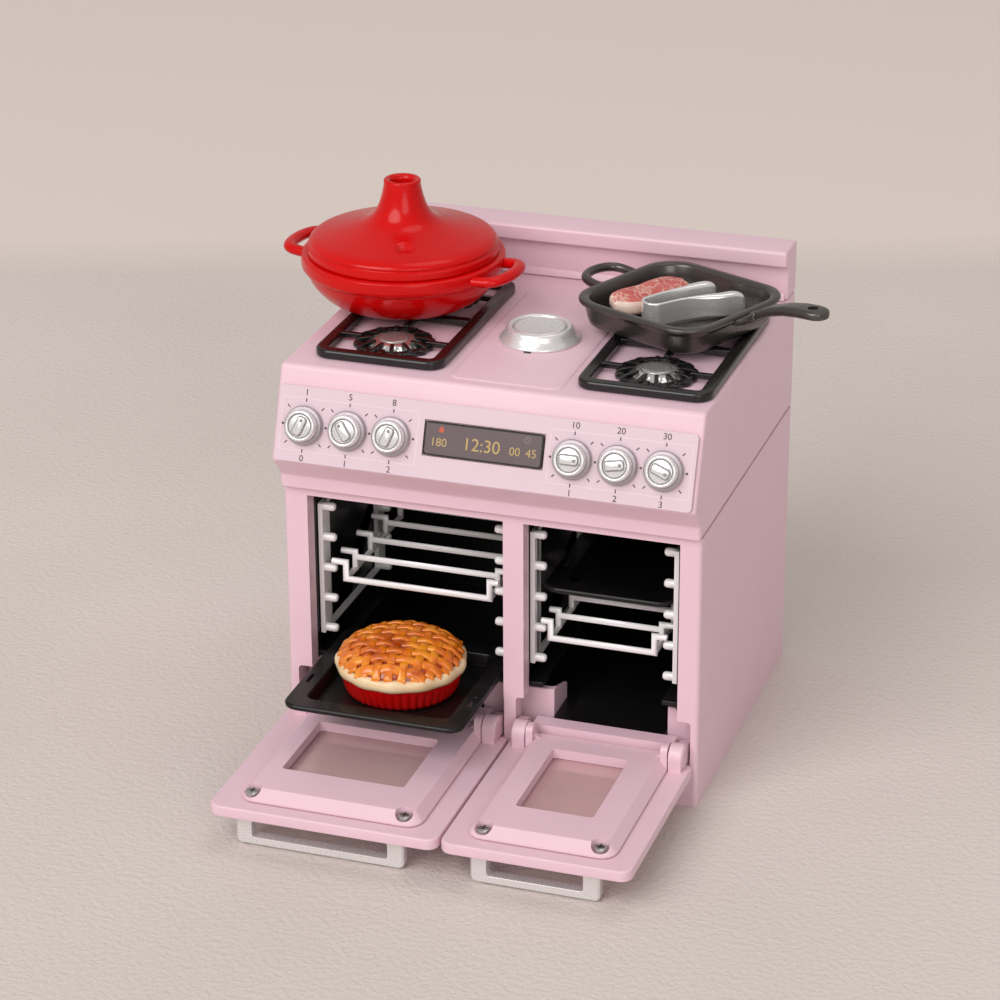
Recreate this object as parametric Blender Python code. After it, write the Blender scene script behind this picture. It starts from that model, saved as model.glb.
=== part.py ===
"""Toy cooker: a pink range with two ovens, a gas hob and its loose cookware.

Metres, +Z up, the front towards -Y. The origin is the middle of the base, on the surface
that the cooker stands on. At rest both oven doors hang open and the left tray is pulled out.
"""

import math
from types import SimpleNamespace

import bmesh
import bpy
from mathutils import Matrix, Vector

# Fits that the whole cooker shares.
GAP = 0.0003
OVERRUN = 0.002
SINK = 0.0004

# Cabinet: four walls behind a front frame with two oven openings.
DEPTH = 0.091
CABINET_HEIGHT = 0.0745
WALL = 0.002
CABINET_CORNER = 0.0012
FRAME_DEPTH = 0.0044
OPENING_FLOOR = 0.017
TOP_RAIL = 0.0021
LEFT_STILE = 0.0064
RIGHT_STILE = 0.00555
DIVIDER = 0.00537
LEFT_OPENING = 0.05226
RIGHT_OPENING = 0.04042
WIDTH = LEFT_STILE + LEFT_OPENING + DIVIDER + RIGHT_OPENING + RIGHT_STILE
FRONT = -DEPTH / 2
BACK = DEPTH / 2
OPENING_TOP = CABINET_HEIGHT - TOP_RAIL
LEFT_OPENING_START = -WIDTH / 2 + LEFT_STILE
LEFT_OPENING_END = LEFT_OPENING_START + LEFT_OPENING
RIGHT_OPENING_START = LEFT_OPENING_END + DIVIDER
RIGHT_OPENING_END = WIDTH / 2 - RIGHT_STILE

# Door hinges: drums on the door, pins through the front frame.
HINGE_INSIDE = 0.0022
HINGE_BELOW_OPENING = 0.0022
HINGE_Y = FRONT + HINGE_INSIDE
HINGE_Z = OPENING_FLOOR - HINGE_BELOW_OPENING
DRUM_OUT = 0.0048
DRUM_UP = 0.0007
DRUM_RADIUS = 0.0033
DRUM_HALF_WIDTH = 0.00165
DRUM_OVERHANG = 0.00185
DRUM_FOOT = 0.0028
DRUM_ROOT_SHARE = 0.9
EYE_RADIUS = 0.0024
ARM_INNER = 0.0005
ARM_OUTER = 0.0019
PIN_RADIUS = 0.00075
PIN_INNER = 0.0036
PIN_OUTER = 0.0035
NOTCH_INNER = 0.0020
NOTCH_OUTER = 0.0025
NOTCH_CORNER = 0.0010
NOTCH_FOOT_CORNER_SHARE = 0.1
SWING_CLEARANCE = 0.0008
DRUM_REACH = math.hypot(DRUM_OUT, DRUM_UP) + DRUM_RADIUS

# Door slab, the outer skin of each door.
SLAB_THICKNESS = 0.0031
SLAB_LIFT = 0.0005
SLAB_DROP = 0.0008
SLAB_BEVEL = 0.0006
SLAB_BEVEL_SHARE = 0.3
SLAB_FRONT_CORNER = 0.003
SLAB_REAR_CORNER = 0.0015
SLAB_LEFT_INSET = 0.0004
SLAB_RIGHT_INSET = 0.0010
DOOR_SPLIT = 0.0018
SLAB_TOP = HINGE_Z - HINGE_INSIDE - GAP
SLAB_BOTTOM = SLAB_TOP - SLAB_THICKNESS
SLAB_REAR = HINGE_Y - (OPENING_FLOOR + SLAB_LIFT - HINGE_Z)
SLAB_FRONT = HINGE_Y - (CABINET_HEIGHT - SLAB_DROP - HINGE_Z)

# Inner door frame, screwed to the slab over the pane.
INNER_THICKNESS = 0.0026
INNER_LIP = 0.0004
INNER_LIFT = 0.0013
INNER_DROP = 0.0027
INNER_FRONT_BEVEL = 0.0030
INNER_SIDE_BEVEL = 0.0022
INNER_FRONT_CORNER = 0.0040
INNER_REAR_CORNER = 0.0006
INNER_BOTTOM = SLAB_TOP + GAP
INNER_TOP = INNER_BOTTOM + INNER_THICKNESS
INNER_REAR = HINGE_Y - (OPENING_FLOOR + INNER_LIFT - HINGE_Z)
INNER_FRONT = HINGE_Y - (OPENING_TOP - INNER_DROP - HINGE_Z)
LEFT_FRAME_INSETS = (0.00055, 0.00421)
RIGHT_FRAME_INSETS = (0.00222, 0.0008)
LEFT_WINDOW_BORDERS = (0.00625, 0.00885)
RIGHT_WINDOW_BORDERS = (0.00825, 0.00925)
WINDOW_FRONT_BORDER = 0.0139
LEFT_WINDOW_REAR_BORDER = 0.0113
RIGHT_WINDOW_REAR_BORDER = 0.0068
WINDOW_CORNER = 0.0008
LUG_WIDTH = 0.0018
LUG_INSET = 0.0001
LUG_DEPTH = 0.0044
LUG_RISE = 0.0036
LUG_ROUND = 0.0016
GUSSET_WIDTH = 0.0020
GUSSET_RISE = 0.0018
GUSSET_THICKNESS = 0.0012

# Window pane, in a rebate of the slab.
PANE_THICKNESS = 0.0009
PANE_LIP = 0.0009
REBATE_DEPTH = 0.0010

# Screws at the top corners of each inner frame.
SCREW_SETBACK = 0.0028
LEFT_SCREW_INSETS = (0.00305, 0.00465)
RIGHT_SCREW_INSETS = (0.00395, 0.00405)
SCREW_POCKET_RADIUS = 0.0023
SCREW_POCKET_FLOOR = 0.0006
SCREW_HEAD_ROOM = 0.00035
SCREW_HEAD_RADIUS = SCREW_POCKET_RADIUS - SCREW_HEAD_ROOM
SCREW_HEAD_HEIGHT = 0.0009
SCREW_HEAD_EDGE = 0.0003
SCREW_SHANK_RADIUS = 0.0008
SCREW_BITE = 0.0019

# Door handles, flat loops under the front edge of each slab.
LEFT_HANDLE_INSETS = (0.0058, 0.00985)
RIGHT_HANDLE_INSETS = (0.00665, 0.0087)
HANDLE_SETBACK = 0.0041
HANDLE_THICKNESS = 0.0030
HANDLE_FLOOR_GAP = 0.0003
HANDLE_BAR = 0.0023
HANDLE_TOP_BAR = 0.0017
HANDLE_POST = 0.0042
HANDLE_CORNER = 0.0015
HANDLE_EDGE = 0.0005
HANDLE_SLOT_CORNER = 0.0008

# Oven liners, open at the front.
LINER_WALL = 0.001
LINER_BELOW = 0.0006
LINER_ABOVE = 0.0004
LINER_BACK_ROOM = 0.016
LEFT_LINER_MARGINS = (-0.0001, 0.00034)
RIGHT_LINER_MARGINS = (0.00043, -0.00155)
LEFT_LEDGE_WIDTH = 0.0050
RIGHT_LEDGE_WIDTH = 0.0040
LINER_DEPTH = DEPTH - FRAME_DEPTH - GAP - LINER_WALL - LINER_BACK_ROOM
LEDGE_HEIGHT = 0.0099
LEDGE_THICKNESS = 0.0014
LINER_FRONT = FRONT + FRAME_DEPTH + GAP
LINER_FLOOR = OPENING_FLOOR - LINER_BELOW
LINER_TOP = OPENING_TOP + LINER_ABOVE
LEDGE_TOP = LINER_FLOOR + LEDGE_HEIGHT

# Hinge brackets behind the drums, standing on the base plate.
BRACKET_BAR = 0.002
BRACKET_CHEEK = 0.0011
BRACKET_DEPTH = 0.0111
BRACKET_RISE = 0.0086
BRACKET_SLOPE = 0.0035
BRACKET_CLEARANCE = 0.0012
CHEEK_CLEARANCE = 0.00065
CUTOUT_CLEARANCE = 0.0012
INNER_ABOVE_HINGE = INNER_TOP - HINGE_Z
SWING_DEPTH = max(DRUM_UP + DRUM_RADIUS, INNER_ABOVE_HINGE + LUG_RISE)
BRACKET_FRONT = HINGE_Y + SWING_DEPTH + BRACKET_CLEARANCE
BRACKET_TOP = HINGE_Z + BRACKET_RISE

# Ladders on the oven walls, whose pegs carry the racks and trays.
LADDER_FRONT = 0.0060
LADDER_BOTTOM_LIFT = 0.0146
LADDER_TOP_ROOM = 0.0052
LADDER_HEIGHT = LINER_TOP - LINER_FLOOR - LADDER_BOTTOM_LIFT - LADDER_TOP_ROOM
POST_THICKNESS = 0.0012
POST_WIDTH = 0.0050
LADDER_STRIP = 0.0012
PEG_RADIUS = 0.00115
LEFT_PEG_LENGTH = 0.0033
RIGHT_PEG_LENGTH = 0.0028
PEG_TIP_SHARES = ((0.6, 1), (0.15, 0.75), (0, 0.35))
PEG_SETBACK = 0.0012
PEG_SPAN = 0.0397
PEG_LIFT = 0.0013
PEG_TOP_ROOM = 0.0009
PEG_COUNT = 5
PEG_PITCH = (LADDER_HEIGHT - PEG_LIFT - PEG_TOP_ROOM) / (PEG_COUNT - 1)
PEG_SIDES = 10
LADDER_BOTTOM = LINER_FLOOR + LADDER_BOTTOM_LIFT
FRONT_PEG_Y = FRONT + LADDER_FRONT + PEG_SETBACK
REAR_PEG_Y = FRONT_PEG_Y + PEG_SPAN

# Wire racks, which hang on the pegs by hooks.
WIRE_RADIUS = 0.00085
RAIL_RADIUS = 0.0008
LEFT_RACK_INSETS = (0.0026, 0.0013)
RIGHT_RACK_INSETS = (0.0012, 0.0021)
RACK_FRONT = 0.0066
RACK_FIRST_BAR = 0.0134
RACK_PITCH = 0.0113
RACK_BARS = 4
HOOK_REST = 0.0011
BAR_BELOW_HOOK = 0.0014
RAIL_BELOW_HOOK = 0.0046
LEFT_RACK_LEVEL = 2
RIGHT_RACK_LEVEL = 1
RIGHT_TRAY_LEVEL = 2

# Baking trays: a flat rim round a shallow basin.
LEFT_TRAY_INSETS = (0.0029, 0.0018)
RIGHT_TRAY_INSETS = (0.0028, 0.0025)
TRAY_LENGTH = 0.047
RIM_THICKNESS = 0.0015
RIM_LIFT = GAP
BASIN_DROP = 0.0024
TRAY_FLOOR = 0.0010
RIM_WIDTH = 0.0042
BASIN_DRAFT = 0.0010
TRAY_CORNER = 0.0040
BASIN_CORNER = 0.0030
TRAY_EDGE = 0.0004
TRAY_SLOT_LENGTH = 0.0050
TRAY_SLOT_WIDTH = 0.0010
TRAY_SLOT_FROM_FRONT = 0.0133
LEFT_TRAY_OUT = 0.0295
RIGHT_TRAY_IN = 0.0070

# Top housing: lip, sloping brow, control panel and hob in one shell.
LIP_OUT = 0.0019
LIP_HEIGHT = 0.0037
PANEL_OUT = 0.0071
PANEL_RISE = 0.0095
PANEL_LENGTH = 0.0244
PANEL_LEAN = math.radians(19.6)
HOUSING_EDGE = 0.0007
HOUSING_BASE = CABINET_HEIGHT + GAP
PANEL_BASE_Y = FRONT - PANEL_OUT
PANEL_BASE_Z = HOUSING_BASE + PANEL_RISE
PANEL_TOP_Y = PANEL_BASE_Y + PANEL_LENGTH * math.sin(PANEL_LEAN)
HOB_TOP = PANEL_BASE_Z + PANEL_LENGTH * math.cos(PANEL_LEAN)

# Backsplash along the rear edge of the hob.
BACKSPLASH_HEIGHT = 0.0138
BACKSPLASH_DEPTH = 0.0087
FASCIA_OVERHANG = 0.0028
FASCIA_HEIGHT = 0.0040
FASCIA_STEP = 0.0008

# Control plate, display and knobs, in the plane of the panel.
PLATE_THICKNESS = 0.0007
PLATE_ABOVE = 0.0051
PLATE_LENGTH = PANEL_LENGTH - GAP - PLATE_ABOVE
PLATE_MIDDLE = GAP + PLATE_LENGTH / 2
PLATE_MARGIN = 0.0010
PLATE_CORNER = 0.0010
DISPLAY_LEFT_ROOM = 0.0086
DISPLAY_RIGHT_ROOM = 0.00755
DISPLAY_HEIGHT = 0.0084
DISPLAY_THICKNESS = 0.0011
DISPLAY_ABOVE_MIDDLE = 0.00065
DISPLAY_CENTRE = PLATE_MIDDLE + DISPLAY_ABOVE_MIDDLE
DISPLAY_CORNER = 0.0008
KNOB_BELOW_MIDDLE = 0.0002
KNOB_CENTRE = PLATE_MIDDLE - KNOB_BELOW_MIDDLE
KNOB_SPACE = 0.00155
KNOB_LEFT_MARGIN = 0.00825
KNOB_RIGHT_MARGIN = 0.0087
KNOB_TURNS = (22, -35, 20, 90, 80, 112)
KNOB_SIDES = 24
SKIRT_RADIUS = 0.0050
SKIRT_TAPER = 0.0004
SKIRT_LEDGE = 0.0011
SKIRT_HEIGHT = 0.0012
BOSS_HEIGHT = 0.0034
BOSS_EDGE = 0.0004
BOSS_RIM = 0.0010
DISH_DEPTH = 0.0005
POINTER_ROOM = 0.0006
POINTER_WIDTH = 0.0017
POINTER_HEIGHT = 0.0009
POINTER_CORNER_SHARE = 0.6
STEM_RADIUS = 0.0016
BARB_OUT = 0.0006
BARB_LENGTH = 0.0012
KNOB_PITCH = 2 * SKIRT_RADIUS + KNOB_SPACE
SKIRT_TOP_RADIUS = SKIRT_RADIUS - SKIRT_TAPER
BOSS_RADIUS = SKIRT_RADIUS - SKIRT_LEDGE
DISH_RADIUS = BOSS_RADIUS - BOSS_RIM
POINTER_LENGTH = 2 * (DISH_RADIUS - POINTER_ROOM)
STEM_HOLE_RADIUS = STEM_RADIUS + GAP
BARB_RADIUS = STEM_RADIUS + BARB_OUT

# Hob: hotplate, burners and pan supports.
HOTPLATE_FIELD = 0.0346
HOTPLATE_SHIFT = -0.0008
HOTPLATE_FROM_FRONT = 0.036
HOTPLATE_BASE_RADIUS = 0.01035
HOTPLATE_FOOT = 0.0005
HOTPLATE_SLOPE = 0.0021
HOTPLATE_RIM_RADIUS = HOTPLATE_BASE_RADIUS - HOTPLATE_SLOPE
HOTPLATE_HEIGHT = 0.0038
HOTPLATE_RIM_WIDTH = 0.0014
HOTPLATE_WELL = 0.0018
DISC_HEIGHT = 0.0012
DISC_EDGE = 0.0003
BURNER_BASE_RADIUS = 0.0052
BURNER_BASE_HEIGHT = 0.0006
CROWN_STEP = 0.0006
CROWN_RADIUS = BURNER_BASE_RADIUS - CROWN_STEP
CROWN_HEIGHT = 0.0010
CAP_STEP = 0.0010
CAP_RADIUS = CROWN_RADIUS - CAP_STEP
CAP_HEIGHT = 0.0004
GRATE_FRONT = 0.0065
GRATE_BACK_ROOM = 0.021
GRATE_LEFT_MARGIN = 0.0060
GRATE_RIGHT_MARGIN = 0.0008
GRATE_LENGTH = DEPTH - GRATE_FRONT - GRATE_BACK_ROOM
GRATE_WIDTH = (WIDTH - GRATE_LEFT_MARGIN - GRATE_RIGHT_MARGIN - HOTPLATE_FIELD) / 2
GRATE_BAR = 0.0025
GRATE_HEIGHT = 0.0021
GRATE_CORNER = 0.0042
GRATE_EDGE = 0.0005
GRATE_FINGER = 0.0014
FINGER_DROP = 0.0006
FINGER_CLEARANCE = 0.0004
BURNER_FROM_END = 0.01405
BURNER_OFFSET = GRATE_LENGTH / 2 - BURNER_FROM_END
GRATE_BOTTOM = HOB_TOP + GAP
GRATE_TOP = GRATE_BOTTOM + GRATE_HEIGHT
COOKWARE_FLOOR = GRATE_TOP + GAP

# Lidded stew pot with a chimney.
POT_SHIFT = (-0.00695, -0.00895)
POT_SIDES = 40
POT_FOOT_RADIUS = 0.0170
POT_RIM_RADIUS = 0.0264
POT_RIM_BAND = 0.0038
POT_HEIGHT = 0.0135
POT_WALL = 0.0017
POT_STEP = 0.0012
POT_RIM_WIDTH = 0.0031
POT_SIDE_SHARES = ((0.28, 0.08), (0.62, 0.36), (0.90, 0.72))
POT_BAND_SHARES = ((0.2, 0.08), (0, 0.25), (0, 0.85), (0.4, 1))
POT_INSIDE_SHARES = ((0.80, 0.66), (0.40, 0.26))
POT_INSIDE_STEP_SHARE = 0.1
LID_INSET = 0.0018
LID_RADIUS = POT_RIM_RADIUS - LID_INSET
LID_BAND = 0.0014
LID_HEIGHT = 0.0188
LID_WALL = 0.0016
LID_LIP_DROP = 0.0014
LID_LIP_WIDTH = 0.0012
CHIMNEY_RADIUS = 0.0047
CHIMNEY_BORE = 0.0032
CHIMNEY_BORE_DEPTH = 0.0032
CHIMNEY_FLARE_SHARES = (0.1, 0.02)
CHIMNEY_EDGE_SHARE = 0.25
CHIMNEY_FLUE_SHARE = 0.36
LID_OUTSIDE_SHARES = (
    (0, 0.03), (0.01, 0.16), (0.04, 0.33), (0.085, 0.45), (0.16, 0.57), (0.29, 0.66),
    (0.48, 0.72), (0.70, 0.78), (0.85, 0.83), (0.945, 0.89), (0.985, 0.945),
)
LID_INSIDE_SHARES = ((0.70, 0.78, 1), (0.29, 0.66, 1), (0.10, 0.57, 0.5))
POT_HANDLE_OUT = 0.0064
POT_HANDLE_REACH = POT_RIM_RADIUS + POT_HANDLE_OUT
POT_HANDLE_HALF_WIDTH = 0.0080
POT_HANDLE_RADIUS = 0.0015
POT_HANDLE_TURN = math.radians(-9)
POT_HANDLE_DROP = 0.0022

# Square grill pan with a long handle and a helper loop.
PAN_SHIFT = (-0.00285, -0.00475)
PAN_TURN = math.radians(-24)
PAN_HALF = 0.0209
PAN_CORNER = 0.0092
PAN_HEIGHT = 0.0078
PAN_TAPER = 0.0026
PAN_WALL = 0.0012
PAN_FLOOR = 0.0012
PAN_RIM = 0.0014
PAN_RIM_HEIGHT = 0.0012
PAN_HANDLE_LENGTH = 0.0252
PAN_HANDLE_RISE = 0.0070
PAN_HANDLE_NECK = 0.0042
PAN_HANDLE_END = 0.0066
PAN_HANDLE_THICKNESS = 0.0026
PAN_HANDLE_HOLE = 0.0013
PAN_HANDLE_HOLE_SHARE = 0.84
# Along the handle, then how much of the neck, the end and the rim make its half width, then its rise.
PAN_HANDLE_SHARES = (
    (0, 1, 0, 1 / 2, 0),
    (0.16, 1, 0, 1 / 3, 0.04),
    (0.26, 1, 0, 0, 0.12),
    (0.45, 1, 0, 0, 0.40),
    (0.66, 0.5, 0.5, 0, 0.72),
    (0.82, 0, 1, 0, 0.90),
    (0.93, 0, 0.85, 0, 0.98),
    (1, 0, 0.45, 0, 1),
)
PAN_LOOP_REACH = 0.0080
PAN_LOOP_HALF_WIDTH = 0.0068
PAN_LOOP_RADIUS = 0.0011

# Steak and tongs lying in the pan: their places and sizes are shares of half its floor.
PAN_INSIDE = PAN_HALF - PAN_RIM - PAN_TAPER - PAN_WALL
STEAK_CENTRE_SHARES = (-0.65, 0.095)
STEAK_HALF_SHARES = (0.37, 0.845)
STEAK_THICKNESS = 0.0034
STEAK_EDGE = 0.0008
STEAK_WAVE_SHARE = 0.10
STEAK_LEAN_SHARE = 0.12
STEAK_TILT_SHARE = 0.22
STEAK_POINTS = 28
TONGS_BOW_SHARES = (-0.18, -0.415)
TONGS_BOW_RADIUS_SHARE = 0.197
TONGS_STRAP = 0.0007
TONGS_WIDTH = 0.0060
TONGS_KNEE_SHARES = ((-0.215, 0.287), (0.26, 0.23))
TONGS_TIP_SHARES = ((-0.03, 0.93), (0.70, 0.87))
TONGS_TIP_THICKNESS = 0.0011

# Pie in a fluted dish on the left tray.
PIE_SHIFT = (0, 0)
PIE_ROOM = 0.0035
FLUTES = 26
FLUTE_DEPTH = 0.00035
DISH_LEAN = 0.0017
PIE_DISH_HEIGHT = 0.0055
PIE_DISH_WALL = 0.0010
PIE_SIDES = 40
CRUST_OVERHANG = 0.0013
CRUST_HEIGHT = 0.0036
PIE_DOME = 0.0048
PIE_DOME_SHARES = ((0.88, 0.42), (0.68, 0.80), (0.38, 0.95), (0, 1))
PIE_PLUG = 0.0030

# Base plate and back panel, inside the cabinet walls.
BACK_PANEL = 0.002
BASE_PLATE = 0.002

ACROSS = Vector((1, 0, 0))
DEEP = Vector((0, 1, 0))
UPWARD = Vector((0, 0, 1))


def material(name, colour, roughness, metallic=0.0):
    made = bpy.data.materials.new(name)
    made.use_nodes = True
    shader = made.node_tree.nodes["Principled BSDF"]
    shader.inputs["Base Color"].default_value = (*colour, 1.0)
    shader.inputs["Roughness"].default_value = roughness
    shader.inputs["Metallic"].default_value = metallic
    return made


def clear_scene():
    for obj in list(bpy.data.objects):
        bpy.data.objects.remove(obj)


def to_object(name, bm, colour=None):
    """Links a new object whose faces all point out."""
    bmesh.ops.recalc_face_normals(bm, faces=bm.faces)
    mesh = bpy.data.meshes.new(name)
    bm.to_mesh(mesh)
    bm.free()
    obj = bpy.data.objects.new(name, mesh)
    bpy.context.scene.collection.objects.link(obj)
    if colour:
        mesh.materials.append(colour)
    return obj


def arc(centre, radius, start, end, steps):
    """Points of a round stretch, with the angles in radians."""
    points = []
    for step in range(steps + 1):
        angle = start + (end - start) * step / steps
        points.append((centre[0] + radius * math.cos(angle), centre[1] + radius * math.sin(angle)))
    return points


def rounded_outline(x0, x1, y0, y1, radii, steps=4):
    """A rectangle anticlockwise from its (x0, y0) corner, with one radius for each corner."""
    quarter = math.pi / 2
    corners = ((x0, y0, 1, 1), (x1, y0, -1, 1), (x1, y1, -1, -1), (x0, y1, 1, -1))
    points = []
    for index, (x, y, inward_x, inward_y) in enumerate(corners):
        radius = radii[index]
        centre = (x + inward_x * radius, y + inward_y * radius)
        start = math.pi + index * quarter
        points += arc(centre, radius, start, start + quarter, steps)
    return points


def inset_ring(box, radii, inset, z, steps=4):
    """The rounded outline of box, drawn in by inset, at height z."""
    x0, x1, y0, y1 = box
    smaller = [max(radius - inset, GAP / 2) for radius in radii]
    outline = rounded_outline(x0 + inset, x1 - inset, y0 + inset, y1 - inset, smaller, steps)
    return [Vector((x, y, z)) for x, y in outline]


def loft(rings, closed=False):
    """A solid through rings of as many points each, capped at both ends or closed on itself."""
    bm = bmesh.new()
    rows = [[bm.verts.new(point) for point in ring] for ring in rings]
    pairs = list(zip(rows, rows[1:]))
    if closed:
        pairs.append((rows[-1], rows[0]))
    for low, high in pairs:
        for index in range(len(low)):
            after = (index + 1) % len(low)
            bm.faces.new((low[index], low[after], high[after], high[index]))
    if not closed:
        bm.faces.new(rows[0][::-1])
        bm.faces.new(rows[-1])
    return bm


def prism(outline, start, end, along):
    """The outline pushed from start to end along X, Y or Z."""
    places = {
        "x": lambda a, b, c: Vector((c, a, b)),
        "y": lambda a, b, c: Vector((a, c, b)),
        "z": lambda a, b, c: Vector((a, b, c)),
    }
    place = places[along]
    return loft([[place(a, b, height) for a, b in outline] for height in (start, end)])


def block(x0, x1, y0, y1, z0, z1):
    return prism([(x0, y0), (x1, y0), (x1, y1), (x0, y1)], z0, z1, "z")


def turned(profile, sides, wave=None):
    """A solid of revolution about Z; wave(angle) is added to the radius of every point off the axis."""
    bm = bmesh.new()
    rows = []
    for radius, z in profile:
        if radius == 0:
            rows.append([bm.verts.new((0, 0, z))])
            continue
        row = []
        for side in range(sides):
            angle = 2 * math.pi * side / sides
            reach = radius + (wave(angle, radius, z) if wave else 0)
            row.append(bm.verts.new((reach * math.cos(angle), reach * math.sin(angle), z)))
        rows.append(row)
    for low, high in zip(rows, rows[1:]):
        for side in range(sides):
            after = (side + 1) % sides
            if len(low) == 1:
                bm.faces.new((low[0], high[after], high[side]))
            elif len(high) == 1:
                bm.faces.new((low[side], low[after], high[0]))
            else:
                bm.faces.new((low[side], low[after], high[after], high[side]))
    return bm


def cylinder(radius, start, end, axis, through, sides):
    """A rod of this radius between two distances along axis, which passes through a point."""
    across = axis.orthogonal().normalized()
    upright = axis.cross(across)
    rings = []
    for distance in (start, end):
        middle = through + axis * distance
        angles = [2 * math.pi * side / sides for side in range(sides)]
        turn = [across * (radius * math.cos(a)) + upright * (radius * math.sin(a)) for a in angles]
        rings.append([middle + offset for offset in turn])
    return loft(rings)


def tube(path, radius, sides, closed=False):
    """A round wire along a path, mitred at its corners."""
    count = len(path)
    tangents = []
    for index in range(count):
        before = path[index - 1] if index or closed else path[index]
        after = path[(index + 1) % count] if index < count - 1 or closed else path[index]
        tangents.append(((after - path[index]).normalized() + (path[index] - before).normalized()).normalized())
    first = (path[1] - path[0]).normalized()
    side_way = first.orthogonal().normalized()
    rings = []
    heading = first
    for index in range(count):
        ahead = path[(index + 1) % count] - path[index] if index < count - 1 or closed else heading
        rings.append([])
        for side in range(sides):
            angle = 2 * math.pi * side / sides
            offset = side_way * (radius * math.cos(angle)) + heading.cross(side_way) * (radius * math.sin(angle))
            slide = -offset.dot(tangents[index]) / heading.dot(tangents[index])
            rings[-1].append(path[index] + offset + heading * slide)
        new_heading = ahead.normalized()
        side_way = heading.rotation_difference(new_heading) @ side_way
        heading = new_heading
    return loft(rings, closed)


def join(meshes):
    """One bmesh holding the shells of several."""
    whole = bmesh.new()
    for part in meshes:
        mesh = bpy.data.meshes.new("part")
        part.to_mesh(mesh)
        part.free()
        whole.from_mesh(mesh)
        bpy.data.meshes.remove(mesh)
    return whole


def combine(target, parts, operation):
    """Applies one Boolean for each bmesh in parts, in order."""
    helpers = []
    for number, part in enumerate(parts):
        helper = to_object(f"{target.name}_tool_{number}", part)
        helper.hide_render = True
        helper.display_type = "WIRE"
        helpers.append(helper)
        modifier = target.modifiers.new(f"{operation.lower()}_{number}", "BOOLEAN")
        modifier.operation = operation
        modifier.solver = "EXACT"
        modifier.object = helper
    bpy.context.view_layer.update()
    graph = bpy.context.evaluated_depsgraph_get()
    result = bpy.data.meshes.new_from_object(target.evaluated_get(graph))
    target.modifiers.clear()
    old = target.data
    target.data = result
    bpy.data.meshes.remove(old)
    for helper in helpers:
        bpy.data.objects.remove(helper)
    return target


def cut(target, parts):
    return combine(target, parts, "DIFFERENCE")


def add(target, parts):
    return combine(target, parts, "UNION")


def smooth(obj, degrees=40):
    obj.data.shade_smooth()
    obj.data.set_sharp_from_angle(angle=math.radians(degrees))
    return obj


def set_origin(obj, point):
    """Moves the object's origin to a point and leaves its shape where it is."""
    obj.data.transform(Matrix.Translation(-point))
    obj.location = point


def axis_empty(name, point):
    empty = bpy.data.objects.new(name, None)
    empty.location = point
    bpy.context.scene.collection.objects.link(empty)
    return empty


def hang(obj, empty):
    """Parents an object to an empty on its joint's axis."""
    set_origin(obj, empty.location)
    obj.parent = empty
    obj.location = (0, 0, 0)


# Places of each oven, worked out from its opening.
def oven(side, opening, slab, frame_margins, window_margins, handle_margins, liner_margins, **rest):
    frame = (opening[0] + frame_margins[0], opening[1] - frame_margins[1])
    liner = (opening[0] - liner_margins[0], opening[1] + liner_margins[1])
    post = (liner[0] + GAP + POST_THICKNESS, liner[1] - GAP - POST_THICKNESS)
    peg = rest["peg_length"]
    return SimpleNamespace(
        side=side,
        opening=opening,
        slab=slab,
        frame=frame,
        window=(frame[0] + window_margins[0], frame[1] - window_margins[1]),
        handle=(slab[0] + handle_margins[0], slab[1] - handle_margins[1]),
        liner=liner,
        post=post,
        peg_tip=(post[0] + peg, post[1] - peg),
        tray=(liner[0] + rest["tray_insets"][0], liner[1] - rest["tray_insets"][1]),
        drums=((frame[0] - DRUM_OVERHANG, -1), (frame[1] + DRUM_OVERHANG, 1)),
        **rest,
    )


LEFT = oven(
    side="left",
    opening=(LEFT_OPENING_START, LEFT_OPENING_END),
    slab=(-WIDTH / 2 + SLAB_LEFT_INSET, LEFT_OPENING_END + DOOR_SPLIT - GAP),
    frame_margins=LEFT_FRAME_INSETS,
    window_margins=LEFT_WINDOW_BORDERS,
    handle_margins=LEFT_HANDLE_INSETS,
    liner_margins=LEFT_LINER_MARGINS,
    window_rear=LEFT_WINDOW_REAR_BORDER,
    peg_length=LEFT_PEG_LENGTH,
    ledge_width=LEFT_LEDGE_WIDTH,
    rack_insets=LEFT_RACK_INSETS,
    rack_level=LEFT_RACK_LEVEL,
    tray_insets=LEFT_TRAY_INSETS,
    screw_insets=LEFT_SCREW_INSETS,
)
RIGHT = oven(
    side="right",
    opening=(RIGHT_OPENING_START, RIGHT_OPENING_END),
    slab=(LEFT_OPENING_END + DOOR_SPLIT + GAP, WIDTH / 2 - SLAB_RIGHT_INSET),
    frame_margins=RIGHT_FRAME_INSETS,
    window_margins=RIGHT_WINDOW_BORDERS,
    handle_margins=RIGHT_HANDLE_INSETS,
    liner_margins=RIGHT_LINER_MARGINS,
    window_rear=RIGHT_WINDOW_REAR_BORDER,
    peg_length=RIGHT_PEG_LENGTH,
    ledge_width=RIGHT_LEDGE_WIDTH,
    rack_insets=RIGHT_RACK_INSETS,
    rack_level=RIGHT_RACK_LEVEL,
    tray_insets=RIGHT_TRAY_INSETS,
    screw_insets=RIGHT_SCREW_INSETS,
)
OVENS = (LEFT, RIGHT)

# The pie's place and width follow the basin of the left tray.
BASIN_HALF = min(LEFT.tray[1] - LEFT.tray[0], TRAY_LENGTH) / 2 - RIM_WIDTH - TRAY_FLOOR - BASIN_DRAFT
PIE_X = sum(LEFT.tray) / 2 + PIE_SHIFT[0]
PIE_Y = FRONT - LEFT_TRAY_OUT + TRAY_LENGTH / 2 + PIE_SHIFT[1]
DISH_FOOT_RADIUS = BASIN_HALF - PIE_ROOM
DISH_RIM_RADIUS = DISH_FOOT_RADIUS + DISH_LEAN
CRUST_RADIUS = DISH_RIM_RADIUS + CRUST_OVERHANG

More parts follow.
